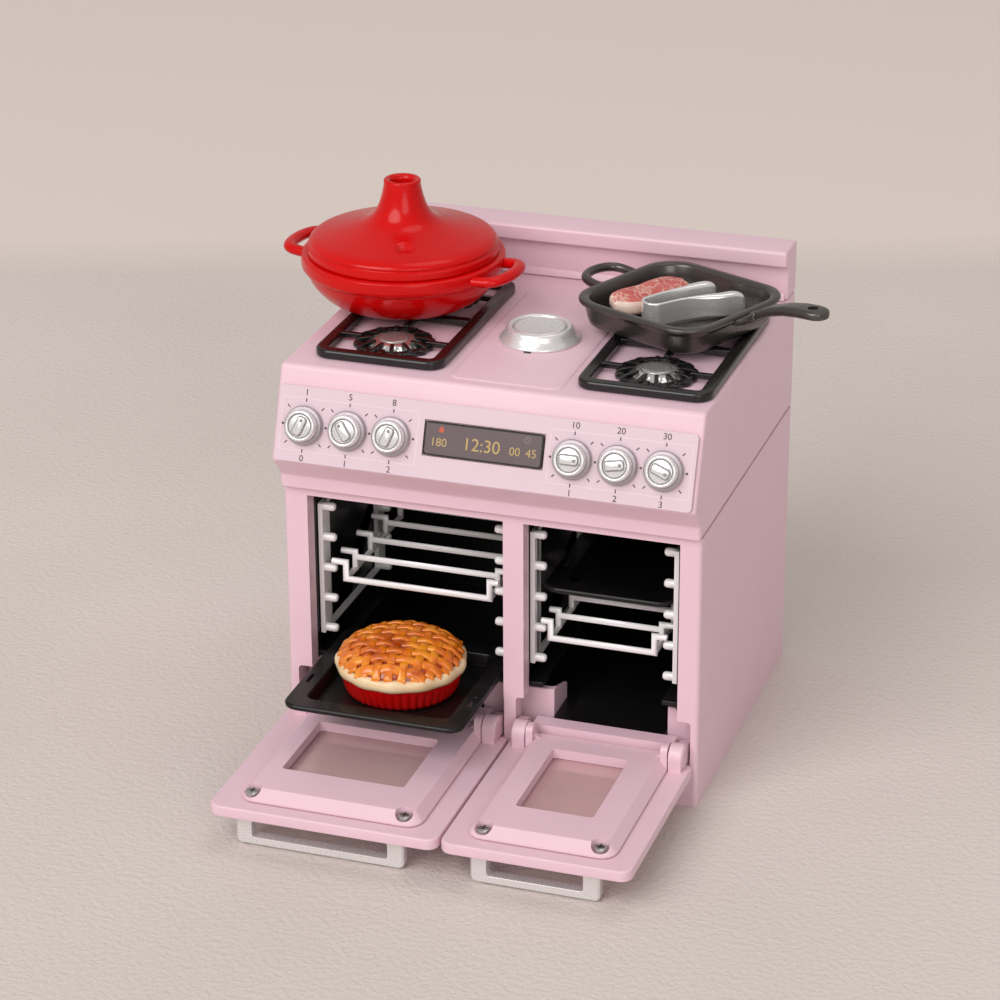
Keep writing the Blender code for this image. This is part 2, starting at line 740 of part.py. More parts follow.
# The panel's own frame: X along the cooker, Y up the slope, Z outwards.
SLOPE = Vector((0, math.sin(PANEL_LEAN), math.cos(PANEL_LEAN)))
OUTWARD = ACROSS.cross(SLOPE)
PANEL_FRAME = Matrix.Translation((0, PANEL_BASE_Y, PANEL_BASE_Z)) @ Matrix(
    (ACROSS, SLOPE, OUTWARD)
).transposed().to_4x4()


def cheek_faces(door_oven, which):
    """The x of a bracket cheek's two faces, the one towards the drum first."""
    edge = door_oven.frame[which]
    inward = 1 if which == 0 else -1
    near = edge + inward * (LUG_INSET + LUG_WIDTH + CHEEK_CLEARANCE)
    return near, near + inward * BRACKET_CHEEK


def hinge_pin_rod(drum_x, outward, radius, extra):
    start = drum_x - outward * (PIN_INNER + extra)
    end = drum_x + outward * (PIN_OUTER + extra)
    point = Vector((0, HINGE_Y, HINGE_Z))
    return cylinder(radius, min(start, end), max(start, end), ACROSS, point, PEG_SIDES)


def make_cabinet(pink):
    radii = [CABINET_CORNER] * 4
    shell = to_object(
        "cabinet_shell",
        prism(rounded_outline(-WIDTH / 2, WIDTH / 2, FRONT, BACK, radii, 3), 0, CABINET_HEIGHT, "z"),
        pink,
    )
    inside = WIDTH / 2 - WALL
    hollow = block(-inside, inside, FRONT + FRAME_DEPTH, BACK + OVERRUN, -OVERRUN, CABINET_HEIGHT + OVERRUN)
    cuts = [hollow]
    face = (FRONT - OVERRUN, FRONT + FRAME_DEPTH + OVERRUN)
    for each in OVENS:
        cuts.append(block(*each.opening, *face, OPENING_FLOOR, OPENING_TOP))
    notches = []
    for each in OVENS:
        for drum_x, outward in each.drums:
            sides = sorted((drum_x - outward * NOTCH_INNER, drum_x + outward * NOTCH_OUTER))
            low = HINGE_Z - DRUM_FOOT - SINK
            high = HINGE_Z + DRUM_REACH + SWING_CLEARANCE
            foot_corner = NOTCH_FOOT_CORNER_SHARE * NOTCH_CORNER
            radii = [foot_corner, foot_corner, NOTCH_CORNER, NOTCH_CORNER]
            notches.append(prism(rounded_outline(*sides, low, high, radii, 3), *face, "y"))
    cuts += notches
    cut(shell, cuts)
    pins = []
    for each in OVENS:
        for drum_x, outward in each.drums:
            pins.append(hinge_pin_rod(drum_x, outward, PIN_RADIUS + GAP, GAP))
    cut(shell, pins)
    return shell


def make_base_and_back(pink, dark):
    inside = WIDTH / 2 - WALL - GAP
    front = FRONT + FRAME_DEPTH + GAP
    back = BACK - BACK_PANEL
    to_object("base_plate", block(-inside, inside, front, back - GAP, 0, BASE_PLATE), dark)
    to_object("back_panel", block(-inside, inside, back, BACK, 0, CABINET_HEIGHT), pink)


def make_brackets(pink):
    """Pink fork-shaped stops behind the hinges: one at each side and a double one in the middle."""
    bottom = BASE_PLATE + GAP
    side = WIDTH / 2 - WALL - GAP
    spans = {
        "hinge_bracket_left": (-side, None, *cheek_faces(LEFT, 0)),
        "hinge_bracket_right": (None, side, *cheek_faces(RIGHT, 1)),
    }
    back = BRACKET_FRONT + BRACKET_DEPTH
    bar = BRACKET_FRONT + BRACKET_BAR
    for name, (left, right, near, far) in spans.items():
        wall = left if left is not None else right
        outline = [
            (wall, BRACKET_FRONT), (far, BRACKET_FRONT), (far, back),
            (near, back), (near, bar), (wall, bar),
        ]
        slope_bracket(to_object(name, prism(outline, bottom, BRACKET_TOP, "z"), pink))
    left_near, left_far = cheek_faces(LEFT, 1)
    right_near, right_far = cheek_faces(RIGHT, 0)
    outline = [
        (left_far, BRACKET_FRONT), (right_far, BRACKET_FRONT), (right_far, back), (right_near, back),
        (right_near, bar), (left_near, bar), (left_near, back), (left_far, back),
    ]
    slope_bracket(to_object("hinge_bracket_centre", prism(outline, bottom, BRACKET_TOP, "z"), pink))


def slope_bracket(bracket):
    """Slopes the bracket's top down to the back."""
    back = BRACKET_FRONT + BRACKET_DEPTH
    wedge = [
        (BRACKET_FRONT + BRACKET_BAR + SINK, BRACKET_TOP + OVERRUN),
        (BRACKET_FRONT + BRACKET_BAR + SINK, BRACKET_TOP - SINK),
        (back + OVERRUN, BRACKET_TOP - BRACKET_SLOPE),
        (back + OVERRUN, BRACKET_TOP + OVERRUN),
    ]
    cut(bracket, [prism(wedge, -WIDTH, WIDTH, "x")])


def make_liner(each, black):
    x0, x1 = each.liner
    back = LINER_FRONT + LINER_DEPTH
    wall = LINER_WALL
    liner = to_object(
        f"{each.side}_oven_liner",
        block(x0 - wall, x1 + wall, LINER_FRONT, back + wall, LINER_FLOOR - wall, LINER_TOP + wall),
        black,
    )
    cut(liner, [block(x0, x1, LINER_FRONT - OVERRUN, back, LINER_FLOOR, LINER_TOP)])
    ledge_low = LEDGE_TOP - LEDGE_THICKNESS
    ledges = []
    for start, end in ((x0 - SINK, x0 + each.ledge_width), (x1 - each.ledge_width, x1 + SINK)):
        ledges.append(block(start, end, LINER_FRONT + GAP, back + SINK, ledge_low, LEDGE_TOP))
    add(liner, ledges)
    corner_back = BRACKET_FRONT + BRACKET_DEPTH + CUTOUT_CLEARANCE
    corner_top = min(HINGE_Z + DRUM_REACH, BRACKET_TOP) + CUTOUT_CLEARANCE
    corner = (LINER_FRONT - OVERRUN, corner_back, LINER_FLOOR - wall - OVERRUN, corner_top)
    left_far = cheek_faces(each, 0)[1] + GAP
    right_far = cheek_faces(each, 1)[1] - GAP
    cut(
        liner,
        [
            block(x0 - wall - OVERRUN, left_far, *corner),
            block(right_far, x1 + wall + OVERRUN, *corner),
        ],
    )


def make_ladder(each, which, steel):
    """A peg ladder on one wall of an oven: two posts, two strips and ten pegs in one casting."""
    inward = 1 if which == 0 else -1
    face = each.post[which]
    sides = sorted((face, face - inward * POST_THICKNESS))
    top = LADDER_BOTTOM + LADDER_HEIGHT
    start = FRONT + LADDER_FRONT
    end = start + PEG_SPAN + POST_WIDTH
    name = f"{each.side}_oven_ladder_{'left' if which == 0 else 'right'}"
    ladder = to_object(name, block(*sides, start, end, LADDER_BOTTOM, top), steel)
    window = block(
        sides[0] - OVERRUN,
        sides[1] + OVERRUN,
        start + POST_WIDTH,
        end - POST_WIDTH,
        LADDER_BOTTOM + LADDER_STRIP,
        top - LADDER_STRIP,
    )
    cut(ladder, [window])
    pegs = []
    for peg_y in (FRONT_PEG_Y, REAR_PEG_Y):
        for level in range(PEG_COUNT):
            height = LADDER_BOTTOM + PEG_LIFT + level * PEG_PITCH
            pegs.append(peg(face, each.peg_tip[which], inward, peg_y, height))
    add(ladder, [join(pegs)])
    smooth(ladder)


def peg(face, tip, inward, y, z):
    """A round peg out of a ladder post, with a rounded end."""
    profile = [(face - inward * SINK, PEG_RADIUS)]
    for back_share, radius_share in PEG_TIP_SHARES:
        profile.append((tip - inward * back_share * PEG_RADIUS, radius_share * PEG_RADIUS))
    rings = []
    for x, radius in profile:
        ring = arc((y, z), radius, 0, 2 * math.pi, PEG_SIDES)[:-1]
        rings.append([Vector((x, a, b)) for a, b in ring])
    return loft(rings)


def rack_heights(each):
    """The heights of a rack's hooks, bars and rails."""
    peg_top = LADDER_BOTTOM + PEG_LIFT + each.rack_level * PEG_PITCH + PEG_RADIUS
    hook = peg_top + GAP + WIRE_RADIUS
    return hook, hook - BAR_BELOW_HOOK, hook - RAIL_BELOW_HOOK


def make_rack(each, steel):
    hook_z, bar_z, rail_z = rack_heights(each)
    left = each.peg_tip[0] + each.rack_insets[0]
    right = each.peg_tip[1] - each.rack_insets[1]
    left_hook = each.peg_tip[0] - HOOK_REST
    right_hook = each.peg_tip[1] + HOOK_REST
    front = FRONT + RACK_FRONT
    bars = [FRONT + RACK_FIRST_BAR + number * RACK_PITCH for number in range(RACK_BARS)]
    front_wire = [
        Vector((left_hook, front, hook_z)), Vector((left, front, hook_z)), Vector((left, front, rail_z)),
        Vector((right, front, rail_z)), Vector((right, front, hook_z)), Vector((right_hook, front, hook_z)),
    ]
    rack = to_object(f"{each.side}_rack", tube(front_wire, WIRE_RADIUS, 8), steel)
    rails = []
    for x in (left, right):
        rails.append(tube([Vector((x, front, rail_z)), Vector((x, bars[-1], rail_z))], RAIL_RADIUS, 8))
    legs = []
    crossings = []
    for y in bars:
        crossings.append(tube([Vector((left, y, bar_z)), Vector((right, y, bar_z))], RAIL_RADIUS, 8))
        for x, hook in ((left, left_hook), (right, right_hook)):
            leg = [Vector((x, y, rail_z - RAIL_RADIUS / 2)), Vector((x, y, hook_z)), Vector((hook, y, hook_z))]
            legs.append(tube(leg, WIRE_RADIUS, 8))
    add(rack, [join(rails), join(legs), join(crossings)])
    smooth(rack)
    set_origin(rack, Vector(((left + right) / 2, front, rail_z)))


def tray_solid(name, x0, x1, y0, rim_bottom, black):
    """A tray whose rings run from under the basin, round the rim and down inside."""
    y1 = y0 + TRAY_LENGTH
    box = (x0, x1, y0, y1)
    rim = [TRAY_CORNER] * 4
    basin = [BASIN_CORNER + RIM_WIDTH] * 4
    rim_top = rim_bottom + RIM_THICKNESS
    bottom = rim_bottom - BASIN_DROP
    wall = TRAY_FLOOR
    inner = RIM_WIDTH + wall
    rings = [
        inset_ring(box, basin, RIM_WIDTH + BASIN_DRAFT, bottom),
        inset_ring(box, basin, RIM_WIDTH, rim_bottom),
        inset_ring(box, rim, TRAY_EDGE, rim_bottom),
        inset_ring(box, rim, 0, rim_bottom + TRAY_EDGE),
        inset_ring(box, rim, 0, rim_top - TRAY_EDGE),
        inset_ring(box, rim, TRAY_EDGE, rim_top),
        inset_ring(box, basin, inner - TRAY_EDGE, rim_top),
        inset_ring(box, basin, inner, rim_top - TRAY_EDGE),
        inset_ring(box, basin, inner + BASIN_DRAFT, bottom + TRAY_FLOOR),
    ]
    tray = to_object(name, loft(rings), black)
    slots = []
    for middle in (x0 + RIM_WIDTH / 2, x1 - RIM_WIDTH / 2):
        slot_start = y0 + TRAY_SLOT_FROM_FRONT
        half = TRAY_SLOT_WIDTH / 2
        slots.append(
            block(
                middle - half, middle + half, slot_start, slot_start + TRAY_SLOT_LENGTH,
                rim_bottom - OVERRUN, rim_top + OVERRUN,
            )
        )
    cut(tray, [join(slots)])
    smooth(tray)
    set_origin(tray, Vector(((x0 + x1) / 2, y0, rim_bottom)))


def make_trays(black):
    tray_solid("left_tray", *LEFT.tray, FRONT - LEFT_TRAY_OUT, LEDGE_TOP + RIM_LIFT, black)
    peg_top = LADDER_BOTTOM + PEG_LIFT + RIGHT_TRAY_LEVEL * PEG_PITCH + PEG_RADIUS
    tray_solid("right_tray", *RIGHT.tray, FRONT + RIGHT_TRAY_IN, peg_top + RIM_LIFT, black)


def window_span(each):
    return (*each.window, INNER_FRONT + WINDOW_FRONT_BORDER, INNER_REAR - each.window_rear)


def screw_places(each):
    y = INNER_FRONT + SCREW_SETBACK
    return [(each.frame[0] + each.screw_insets[0], y), (each.frame[1] - each.screw_insets[1], y)]


def hull_of_circles(first, first_radius, second, second_radius, steps=10):
    """The outline round two circles, anticlockwise."""
    dx = second[0] - first[0]
    dy = second[1] - first[1]
    heading = math.atan2(dy, dx)
    spread = math.acos((first_radius - second_radius) / math.hypot(dx, dy))
    outline = arc(first, first_radius, heading + spread, heading + 2 * math.pi - spread, steps)
    return outline + arc(second, second_radius, heading - spread, heading + spread, steps)


def drum_solids(each):
    """The hinge drums and arms of a door, each rooted in the slab."""
    centre = (HINGE_Y - DRUM_OUT, HINGE_Z + DRUM_UP)
    root = SLAB_TOP - SINK
    drums = []
    arms = []
    for drum_x, outward in each.drums:
        outline = arc(centre, DRUM_RADIUS, -math.radians(20), math.radians(200), 14)
        outline += [(centre[0] - DRUM_RADIUS * DRUM_ROOT_SHARE, root), (SLAB_REAR - SINK, root)]
        drums.append(prism(outline, drum_x - DRUM_HALF_WIDTH, drum_x + DRUM_HALF_WIDTH, "x"))
        span = sorted((drum_x - outward * ARM_INNER, drum_x + outward * ARM_OUTER))
        eye = hull_of_circles(centre, DRUM_RADIUS - GAP, (HINGE_Y, HINGE_Z), EYE_RADIUS)
        arms.append(prism(eye, *span, "x"))
    return drums, arms


def make_slab(each, pink):
    box = (*each.slab, SLAB_FRONT, SLAB_REAR)
    part_bevel = SLAB_BEVEL_SHARE * SLAB_BEVEL
    radii = [SLAB_FRONT_CORNER, SLAB_FRONT_CORNER, SLAB_REAR_CORNER, SLAB_REAR_CORNER]
    rings = [
        inset_ring(box, radii, SLAB_BEVEL, SLAB_BOTTOM),
        inset_ring(box, radii, part_bevel, SLAB_BOTTOM + part_bevel),
        inset_ring(box, radii, 0, SLAB_BOTTOM + SLAB_BEVEL),
        inset_ring(box, radii, 0, SLAB_TOP - SLAB_BEVEL),
        inset_ring(box, radii, part_bevel, SLAB_TOP - part_bevel),
        inset_ring(box, radii, SLAB_BEVEL, SLAB_TOP),
    ]
    slab = to_object(f"{each.side}_door_slab", loft(rings), pink)
    drums, arms = drum_solids(each)
    add(slab, [join(drums), join(arms)])
    x0, x1, y0, y1 = window_span(each)
    corners = [WINDOW_CORNER] * 4
    lip = PANE_LIP + GAP
    through = prism(rounded_outline(x0, x1, y0, y1, corners, 2), SLAB_BOTTOM - OVERRUN, SLAB_TOP + OVERRUN, "z")
    rebate = block(x0 - lip, x1 + lip, y0 - lip, y1 + lip, SLAB_TOP - REBATE_DEPTH, SLAB_TOP + OVERRUN)
    holes = []
    for x, y in screw_places(each):
        deep = INNER_BOTTOM + SCREW_POCKET_FLOOR - SCREW_BITE - INNER_THICKNESS / 2
        holes.append(
            cylinder(SCREW_SHANK_RADIUS + GAP, deep, SLAB_TOP + OVERRUN, UPWARD, Vector((x, y, 0)), PEG_SIDES)
        )
    pins = [hinge_pin_rod(x, outward, PIN_RADIUS + GAP, OVERRUN) for x, outward in each.drums]
    cut(slab, [through, rebate, join(holes), join(pins)])
    return smooth(slab)


def make_inner_frame(each, pink):
    x0, x1 = each.frame
    box = (x0, x1, INNER_FRONT, INNER_REAR)
    radii = [INNER_FRONT_CORNER, INNER_FRONT_CORNER, INNER_REAR_CORNER, INNER_REAR_CORNER]
    top_box = (x0 + INNER_SIDE_BEVEL, x1 - INNER_SIDE_BEVEL, INNER_FRONT + INNER_FRONT_BEVEL, INNER_REAR)
    top_corner = INNER_FRONT_CORNER - INNER_SIDE_BEVEL
    top_radii = [top_corner, top_corner, INNER_REAR_CORNER, INNER_REAR_CORNER]
    rings = [
        inset_ring(box, radii, 0, INNER_BOTTOM),
        inset_ring(box, radii, 0, INNER_BOTTOM + INNER_LIP),
        inset_ring(top_box, top_radii, 0, INNER_TOP),
    ]
    frame = to_object(f"{each.side}_inner_frame", loft(rings), pink)
    add(frame, lug_solids(each))
    wx0, wx1, wy0, wy1 = window_span(each)
    corners = [WINDOW_CORNER] * 4
    outline = rounded_outline(wx0, wx1, wy0, wy1, corners, 2)
    cuts = [prism(outline, INNER_BOTTOM - OVERRUN, INNER_TOP + OVERRUN, "z")]
    pockets = []
    holes = []
    floor = INNER_BOTTOM + SCREW_POCKET_FLOOR
    for x, y in screw_places(each):
        at = Vector((x, y, 0))
        pockets.append(cylinder(SCREW_POCKET_RADIUS, floor, INNER_TOP + OVERRUN, UPWARD, at, 16))
        holes.append(
            cylinder(SCREW_SHANK_RADIUS + GAP, INNER_BOTTOM - OVERRUN, floor + OVERRUN, UPWARD, at, PEG_SIDES)
        )
    cut(frame, cuts + [join(pockets), join(holes)])
    return smooth(frame, 25)


def lug_solids(each):
    """Two upright lugs at the rear of the inner frame, each with a low gusset beside it."""
    lugs = []
    gussets = []
    root = INNER_TOP - SINK - INNER_SIDE_BEVEL
    front = INNER_REAR - LUG_DEPTH
    top = INNER_TOP + LUG_RISE
    for which, inward in ((0, 1), (1, -1)):
        outer = each.frame[which] + inward * LUG_INSET
        inner = outer + inward * LUG_WIDTH
        outline = rounded_outline(front, INNER_REAR, root, top, [GAP, GAP, LUG_ROUND, LUG_ROUND], 4)
        lugs.append(prism(outline, min(outer, inner), max(outer, inner), "x"))
        reach = inner + inward * GUSSET_WIDTH
        middle = (front + INNER_REAR) / 2
        corners = [
            (inner - inward * SINK, INNER_TOP - SINK),
            (reach, INNER_TOP - SINK),
            (inner - inward * SINK, INNER_TOP + GUSSET_RISE),
        ]
        half = GUSSET_THICKNESS / 2
        gussets.append(prism(corners, middle - half, middle + half, "y"))
    return [join(lugs), join(gussets)]


def make_pane(each, clear):
    x0, x1, y0, y1 = window_span(each)
    bottom = SLAB_TOP - REBATE_DEPTH + GAP / 4
    top = bottom + PANE_THICKNESS
    return to_object(
        f"{each.side}_door_pane",
        block(x0 - PANE_LIP, x1 + PANE_LIP, y0 - PANE_LIP, y1 + PANE_LIP, bottom + GAP / 2, top),
        clear,
    )


def make_screw(each, number, steel):
    x, y = screw_places(each)[number]
    seat = INNER_BOTTOM + SCREW_POCKET_FLOOR + GAP
    profile = [
        (0, seat - SCREW_BITE - SCREW_HEAD_EDGE),
        (SCREW_SHANK_RADIUS / 2, seat - SCREW_BITE),
        (SCREW_SHANK_RADIUS, seat - SCREW_BITE + SCREW_SHANK_RADIUS / 2),
        (SCREW_SHANK_RADIUS, seat),
        (SCREW_HEAD_RADIUS, seat),
        (SCREW_HEAD_RADIUS, seat + SCREW_HEAD_HEIGHT - SCREW_HEAD_EDGE),
        (SCREW_HEAD_RADIUS - SCREW_HEAD_EDGE, seat + SCREW_HEAD_HEIGHT),
        (0, seat + SCREW_HEAD_HEIGHT),
    ]
    name = f"{each.side}_door_screw_{'left' if number == 0 else 'right'}"
    screw = to_object(name, turned(profile, 16), steel)
    screw.data.transform(Matrix.Translation((x, y, 0)))
    return smooth(screw)


def make_handle(each, silver):
    x0, x1 = each.handle
    low = HANDLE_FLOOR_GAP
    high = SLAB_BOTTOM - GAP
    front = SLAB_FRONT + HANDLE_SETBACK
    back = front + HANDLE_THICKNESS
    radii = [HANDLE_CORNER, HANDLE_CORNER, GAP, GAP]
    rings = []
    for inset, y in ((HANDLE_EDGE, front), (0, front + HANDLE_EDGE), (0, back - HANDLE_EDGE), (HANDLE_EDGE, back)):
        ring = inset_ring((x0, x1, low, high), radii, inset, y)
        rings.append([Vector((point.x, point.z, point.y)) for point in ring])
    handle = to_object(f"{each.side}_door_handle", loft(rings), silver)
    slot_radii = [HANDLE_SLOT_CORNER] * 4
    slot = rounded_outline(
        x0 + HANDLE_POST, x1 - HANDLE_POST, low + HANDLE_BAR, high - HANDLE_TOP_BAR, slot_radii, 3
    )
    cut(handle, [prism(slot, front - OVERRUN, back + OVERRUN, "y")])
    return smooth(handle)


def make_door(each, pink, silver, steel, clear):
    axis = axis_empty(f"{each.side}_door_axis", Vector((sum(each.slab) / 2, HINGE_Y, HINGE_Z)))
    pieces = [
        make_slab(each, pink),
        make_inner_frame(each, pink),
        make_pane(each, clear),
        make_handle(each, silver),
        make_screw(each, 0, steel),
        make_screw(each, 1, steel),
    ]
    for piece in pieces:
        hang(piece, axis)
    for number, (drum_x, outward) in enumerate(each.drums):
        name = f"{each.side}_door_pin_{'left' if number == 0 else 'right'}"
        smooth(to_object(name, hinge_pin_rod(drum_x, outward, PIN_RADIUS, 0), steel))


def offset_outline(points, distance):
    """The closed outline moved inwards by distance, with mitred corners; points run anticlockwise."""
    moved = []
    count = len(points)
    for index in range(count):
        here = Vector(points[index])
        before = (here - Vector(points[index - 1])).normalized()
        after = (Vector(points[(index + 1) % count]) - here).normalized()
        normal_before = Vector((-before.y, before.x))
        normal_after = Vector((-after.y, after.x))
        bisector = (normal_before + normal_after).normalized()
        moved.append(tuple(here + bisector * (distance / bisector.dot(normal_before))))
    return moved


def make_housing(pink):
    """The top shell, drawn as a side view and pushed across the cooker."""
    lip = FRONT - LIP_OUT
    outline = [
        (BACK, HOUSING_BASE), (BACK, HOB_TOP), (PANEL_TOP_Y, HOB_TOP), (PANEL_BASE_Y, PANEL_BASE_Z),
        (lip, HOUSING_BASE + LIP_HEIGHT), (lip, HOUSING_BASE),
    ]
    half = WIDTH / 2
    edged = offset_outline(outline, HOUSING_EDGE)
    rings = []
    for x, side in ((-half, edged), (HOUSING_EDGE - half, outline), (half - HOUSING_EDGE, outline), (half, edged)):
        rings.append([Vector((x, y, z)) for y, z in side])
    housing = to_object("top_housing", loft(rings), pink)
    hollow = offset_outline(outline, WALL)
    hollow[0] = (hollow[0][0], HOUSING_BASE - OVERRUN)
    hollow[-1] = (hollow[-1][0], HOUSING_BASE - OVERRUN)
    cuts = [prism(hollow, WALL - half, half - WALL, "x")]
    cuts.append(join([stem_hole(x) for x in knob_places()]))
    cut(housing, cuts)
    return smooth(housing)


def knob_places():
    left = [-WIDTH / 2 + KNOB_LEFT_MARGIN + number * KNOB_PITCH for number in range(3)]
    right = [WIDTH / 2 - KNOB_RIGHT_MARGIN - number * KNOB_PITCH for number in (2, 1, 0)]
    return left + right


def stem_hole(x):
    hole = cylinder(
        STEM_HOLE_RADIUS, -WALL - OVERRUN, PLATE_THICKNESS + OVERRUN, UPWARD, Vector((x, KNOB_CENTRE, 0)), 16
    )
    hole.transform(PANEL_FRAME)
    return hole


def make_control_plate(pale):
    half = WIDTH / 2 - PLATE_MARGIN
    outline = rounded_outline(-half, half, GAP, GAP + PLATE_LENGTH, [PLATE_CORNER] * 4, 3)
    bm = prism(outline, GAP, GAP + PLATE_THICKNESS, "z")
    bm.transform(PANEL_FRAME)
    plate = to_object("control_plate", bm, pale)
    x0, x1, y0, y1 = display_box(GAP)
    hole = block(x0, x1, y0, y1, -OVERRUN, GAP + PLATE_THICKNESS + OVERRUN)
    hole.transform(PANEL_FRAME)
    cut(plate, [hole, join([stem_hole(x) for x in knob_places()])])


def display_box(grow):
    """The display's edges between the two groups of knobs, grown all round."""
    knobs = knob_places()
    left = knobs[2] + DISPLAY_LEFT_ROOM
    right = knobs[3] - DISPLAY_RIGHT_ROOM
    half_height = DISPLAY_HEIGHT / 2 + grow
    return left - grow, right + grow, DISPLAY_CENTRE - half_height, DISPLAY_CENTRE + half_height


def make_display(dark):
    outline = rounded_outline(*display_box(0), [DISPLAY_CORNER] * 4, 3)
    bm = prism(outline, GAP, GAP + DISPLAY_THICKNESS, "z")
    bm.transform(PANEL_FRAME)
    to_object("display_window", bm, dark)


def knob_mesh(silver):
    """A knob about the origin, pointing up its own Y, with its stem and barb below zero."""
    plate_top = GAP + PLATE_THICKNESS
    base = plate_top + GAP
    skirt = base + SKIRT_HEIGHT
    boss = base + BOSS_HEIGHT
    floor = boss - DISH_DEPTH
    barb = -WALL - GAP
    profile = [
        (0, barb - BARB_LENGTH),
        (STEM_RADIUS, barb - BARB_LENGTH),
        (BARB_RADIUS, barb),
        (STEM_RADIUS, barb),
        (STEM_RADIUS, base),
        (SKIRT_RADIUS, base),
        (SKIRT_TOP_RADIUS, skirt),
        (BOSS_RADIUS, skirt),
        (BOSS_RADIUS - BOSS_EDGE / 2, boss - BOSS_EDGE),
        (BOSS_RADIUS - BOSS_EDGE, boss),
        (DISH_RADIUS, boss),
        (DISH_RADIUS, floor),
        (0, floor),
    ]
    knob = to_object("knob", turned(profile, KNOB_SIDES), silver)
    half = POINTER_WIDTH / 2
    pointer = rounded_outline(
        -half, half, -POINTER_LENGTH / 2, POINTER_LENGTH / 2, [POINTER_CORNER_SHARE * half] * 4, 2
    )
    add(knob, [prism(pointer, floor - SINK, floor + POINTER_HEIGHT, "z")])
    smooth(knob)
    return knob


def make_knobs(silver):
    pattern = knob_mesh(silver)
    mesh = pattern.data
    bpy.data.objects.remove(pattern)
    for number, x in enumerate(knob_places()):
        knob = bpy.data.objects.new(f"knob_{number + 1}", mesh)
        bpy.context.scene.collection.objects.link(knob)
        turn = Matrix.Rotation(-math.radians(KNOB_TURNS[number]), 4, "Z")
        knob.matrix_world = PANEL_FRAME @ Matrix.Translation((x, KNOB_CENTRE, 0)) @ turn


def make_backsplash(pink):
    base = HOB_TOP + GAP
    top = base + BACKSPLASH_HEIGHT
    wall = BACK - BACKSPLASH_DEPTH
    fascia = wall - FASCIA_OVERHANG
    under = top - FASCIA_HEIGHT
    outline = [
        (wall, base), (BACK, base), (BACK, top), (fascia, top), (fascia, under), (wall, under - FASCIA_STEP),
    ]
    half = WIDTH / 2
    edged = offset_outline(outline, HOUSING_EDGE / 2)
    inner = half - HOUSING_EDGE / 2
    rings = []
    for x, side in ((-half, edged), (-inner, outline), (inner, outline), (half, edged)):
        rings.append([Vector((x, y, z)) for y, z in side])
    splash = to_object("backsplash", loft(rings), pink)
    cut(splash, [block(WALL - half, half - WALL, wall + WALL, BACK - WALL, base - OVERRUN, top - WALL)])


def lift_to(obj, x, from_front, z=0):
    """Moves a turned piece, made about the Z axis, to its place."""
    obj.location = (x, FRONT + from_front, z)


def make_hotplate(silver):
    spans = grate_spans()
    middle = (spans["left"][1] + spans["right"][0]) / 2 + HOTPLATE_SHIFT
    base = HOB_TOP + GAP
    top = base + HOTPLATE_HEIGHT
    inner = HOTPLATE_RIM_RADIUS - HOTPLATE_RIM_WIDTH
    floor = top - HOTPLATE_WELL
    ring = [
        (0, base),
        (HOTPLATE_BASE_RADIUS, base),
        (HOTPLATE_BASE_RADIUS, base + HOTPLATE_FOOT),
        (HOTPLATE_RIM_RADIUS + HOTPLATE_FOOT, top - 2 * HOTPLATE_FOOT),
        (HOTPLATE_RIM_RADIUS, top - HOTPLATE_FOOT),
        (HOTPLATE_RIM_RADIUS - HOTPLATE_FOOT, top),
        (inner, top),
        (inner, floor),
        (0, floor),
    ]
    plate = smooth(to_object("hotplate_ring", turned(ring, 40), silver))
    lift_to(plate, middle, HOTPLATE_FROM_FRONT)
    disc_radius = inner - GAP
    disc = [
        (0, floor + GAP),
        (disc_radius, floor + GAP),
        (disc_radius, floor + GAP + DISC_HEIGHT - DISC_EDGE),
        (disc_radius - DISC_EDGE, floor + GAP + DISC_HEIGHT),
        (0, floor + GAP + DISC_HEIGHT),
    ]
    lift_to(smooth(to_object("hotplate_disc", turned(disc, 40), silver)), middle, HOTPLATE_FROM_FRONT)


def grate_spans():
    half = WIDTH / 2
    left = -half + GRATE_LEFT_MARGIN
    right = half - GRATE_RIGHT_MARGIN
    return {"left": (left, left + GRATE_WIDTH), "right": (right - GRATE_WIDTH, right)}


def burner_places(span):
    """The x and y of a grate's two burners, the front one first."""
    middle = FRONT + GRATE_FRONT + GRATE_LENGTH / 2
    return [(sum(span) / 2, middle - BURNER_OFFSET), (sum(span) / 2, middle + BURNER_OFFSET)]


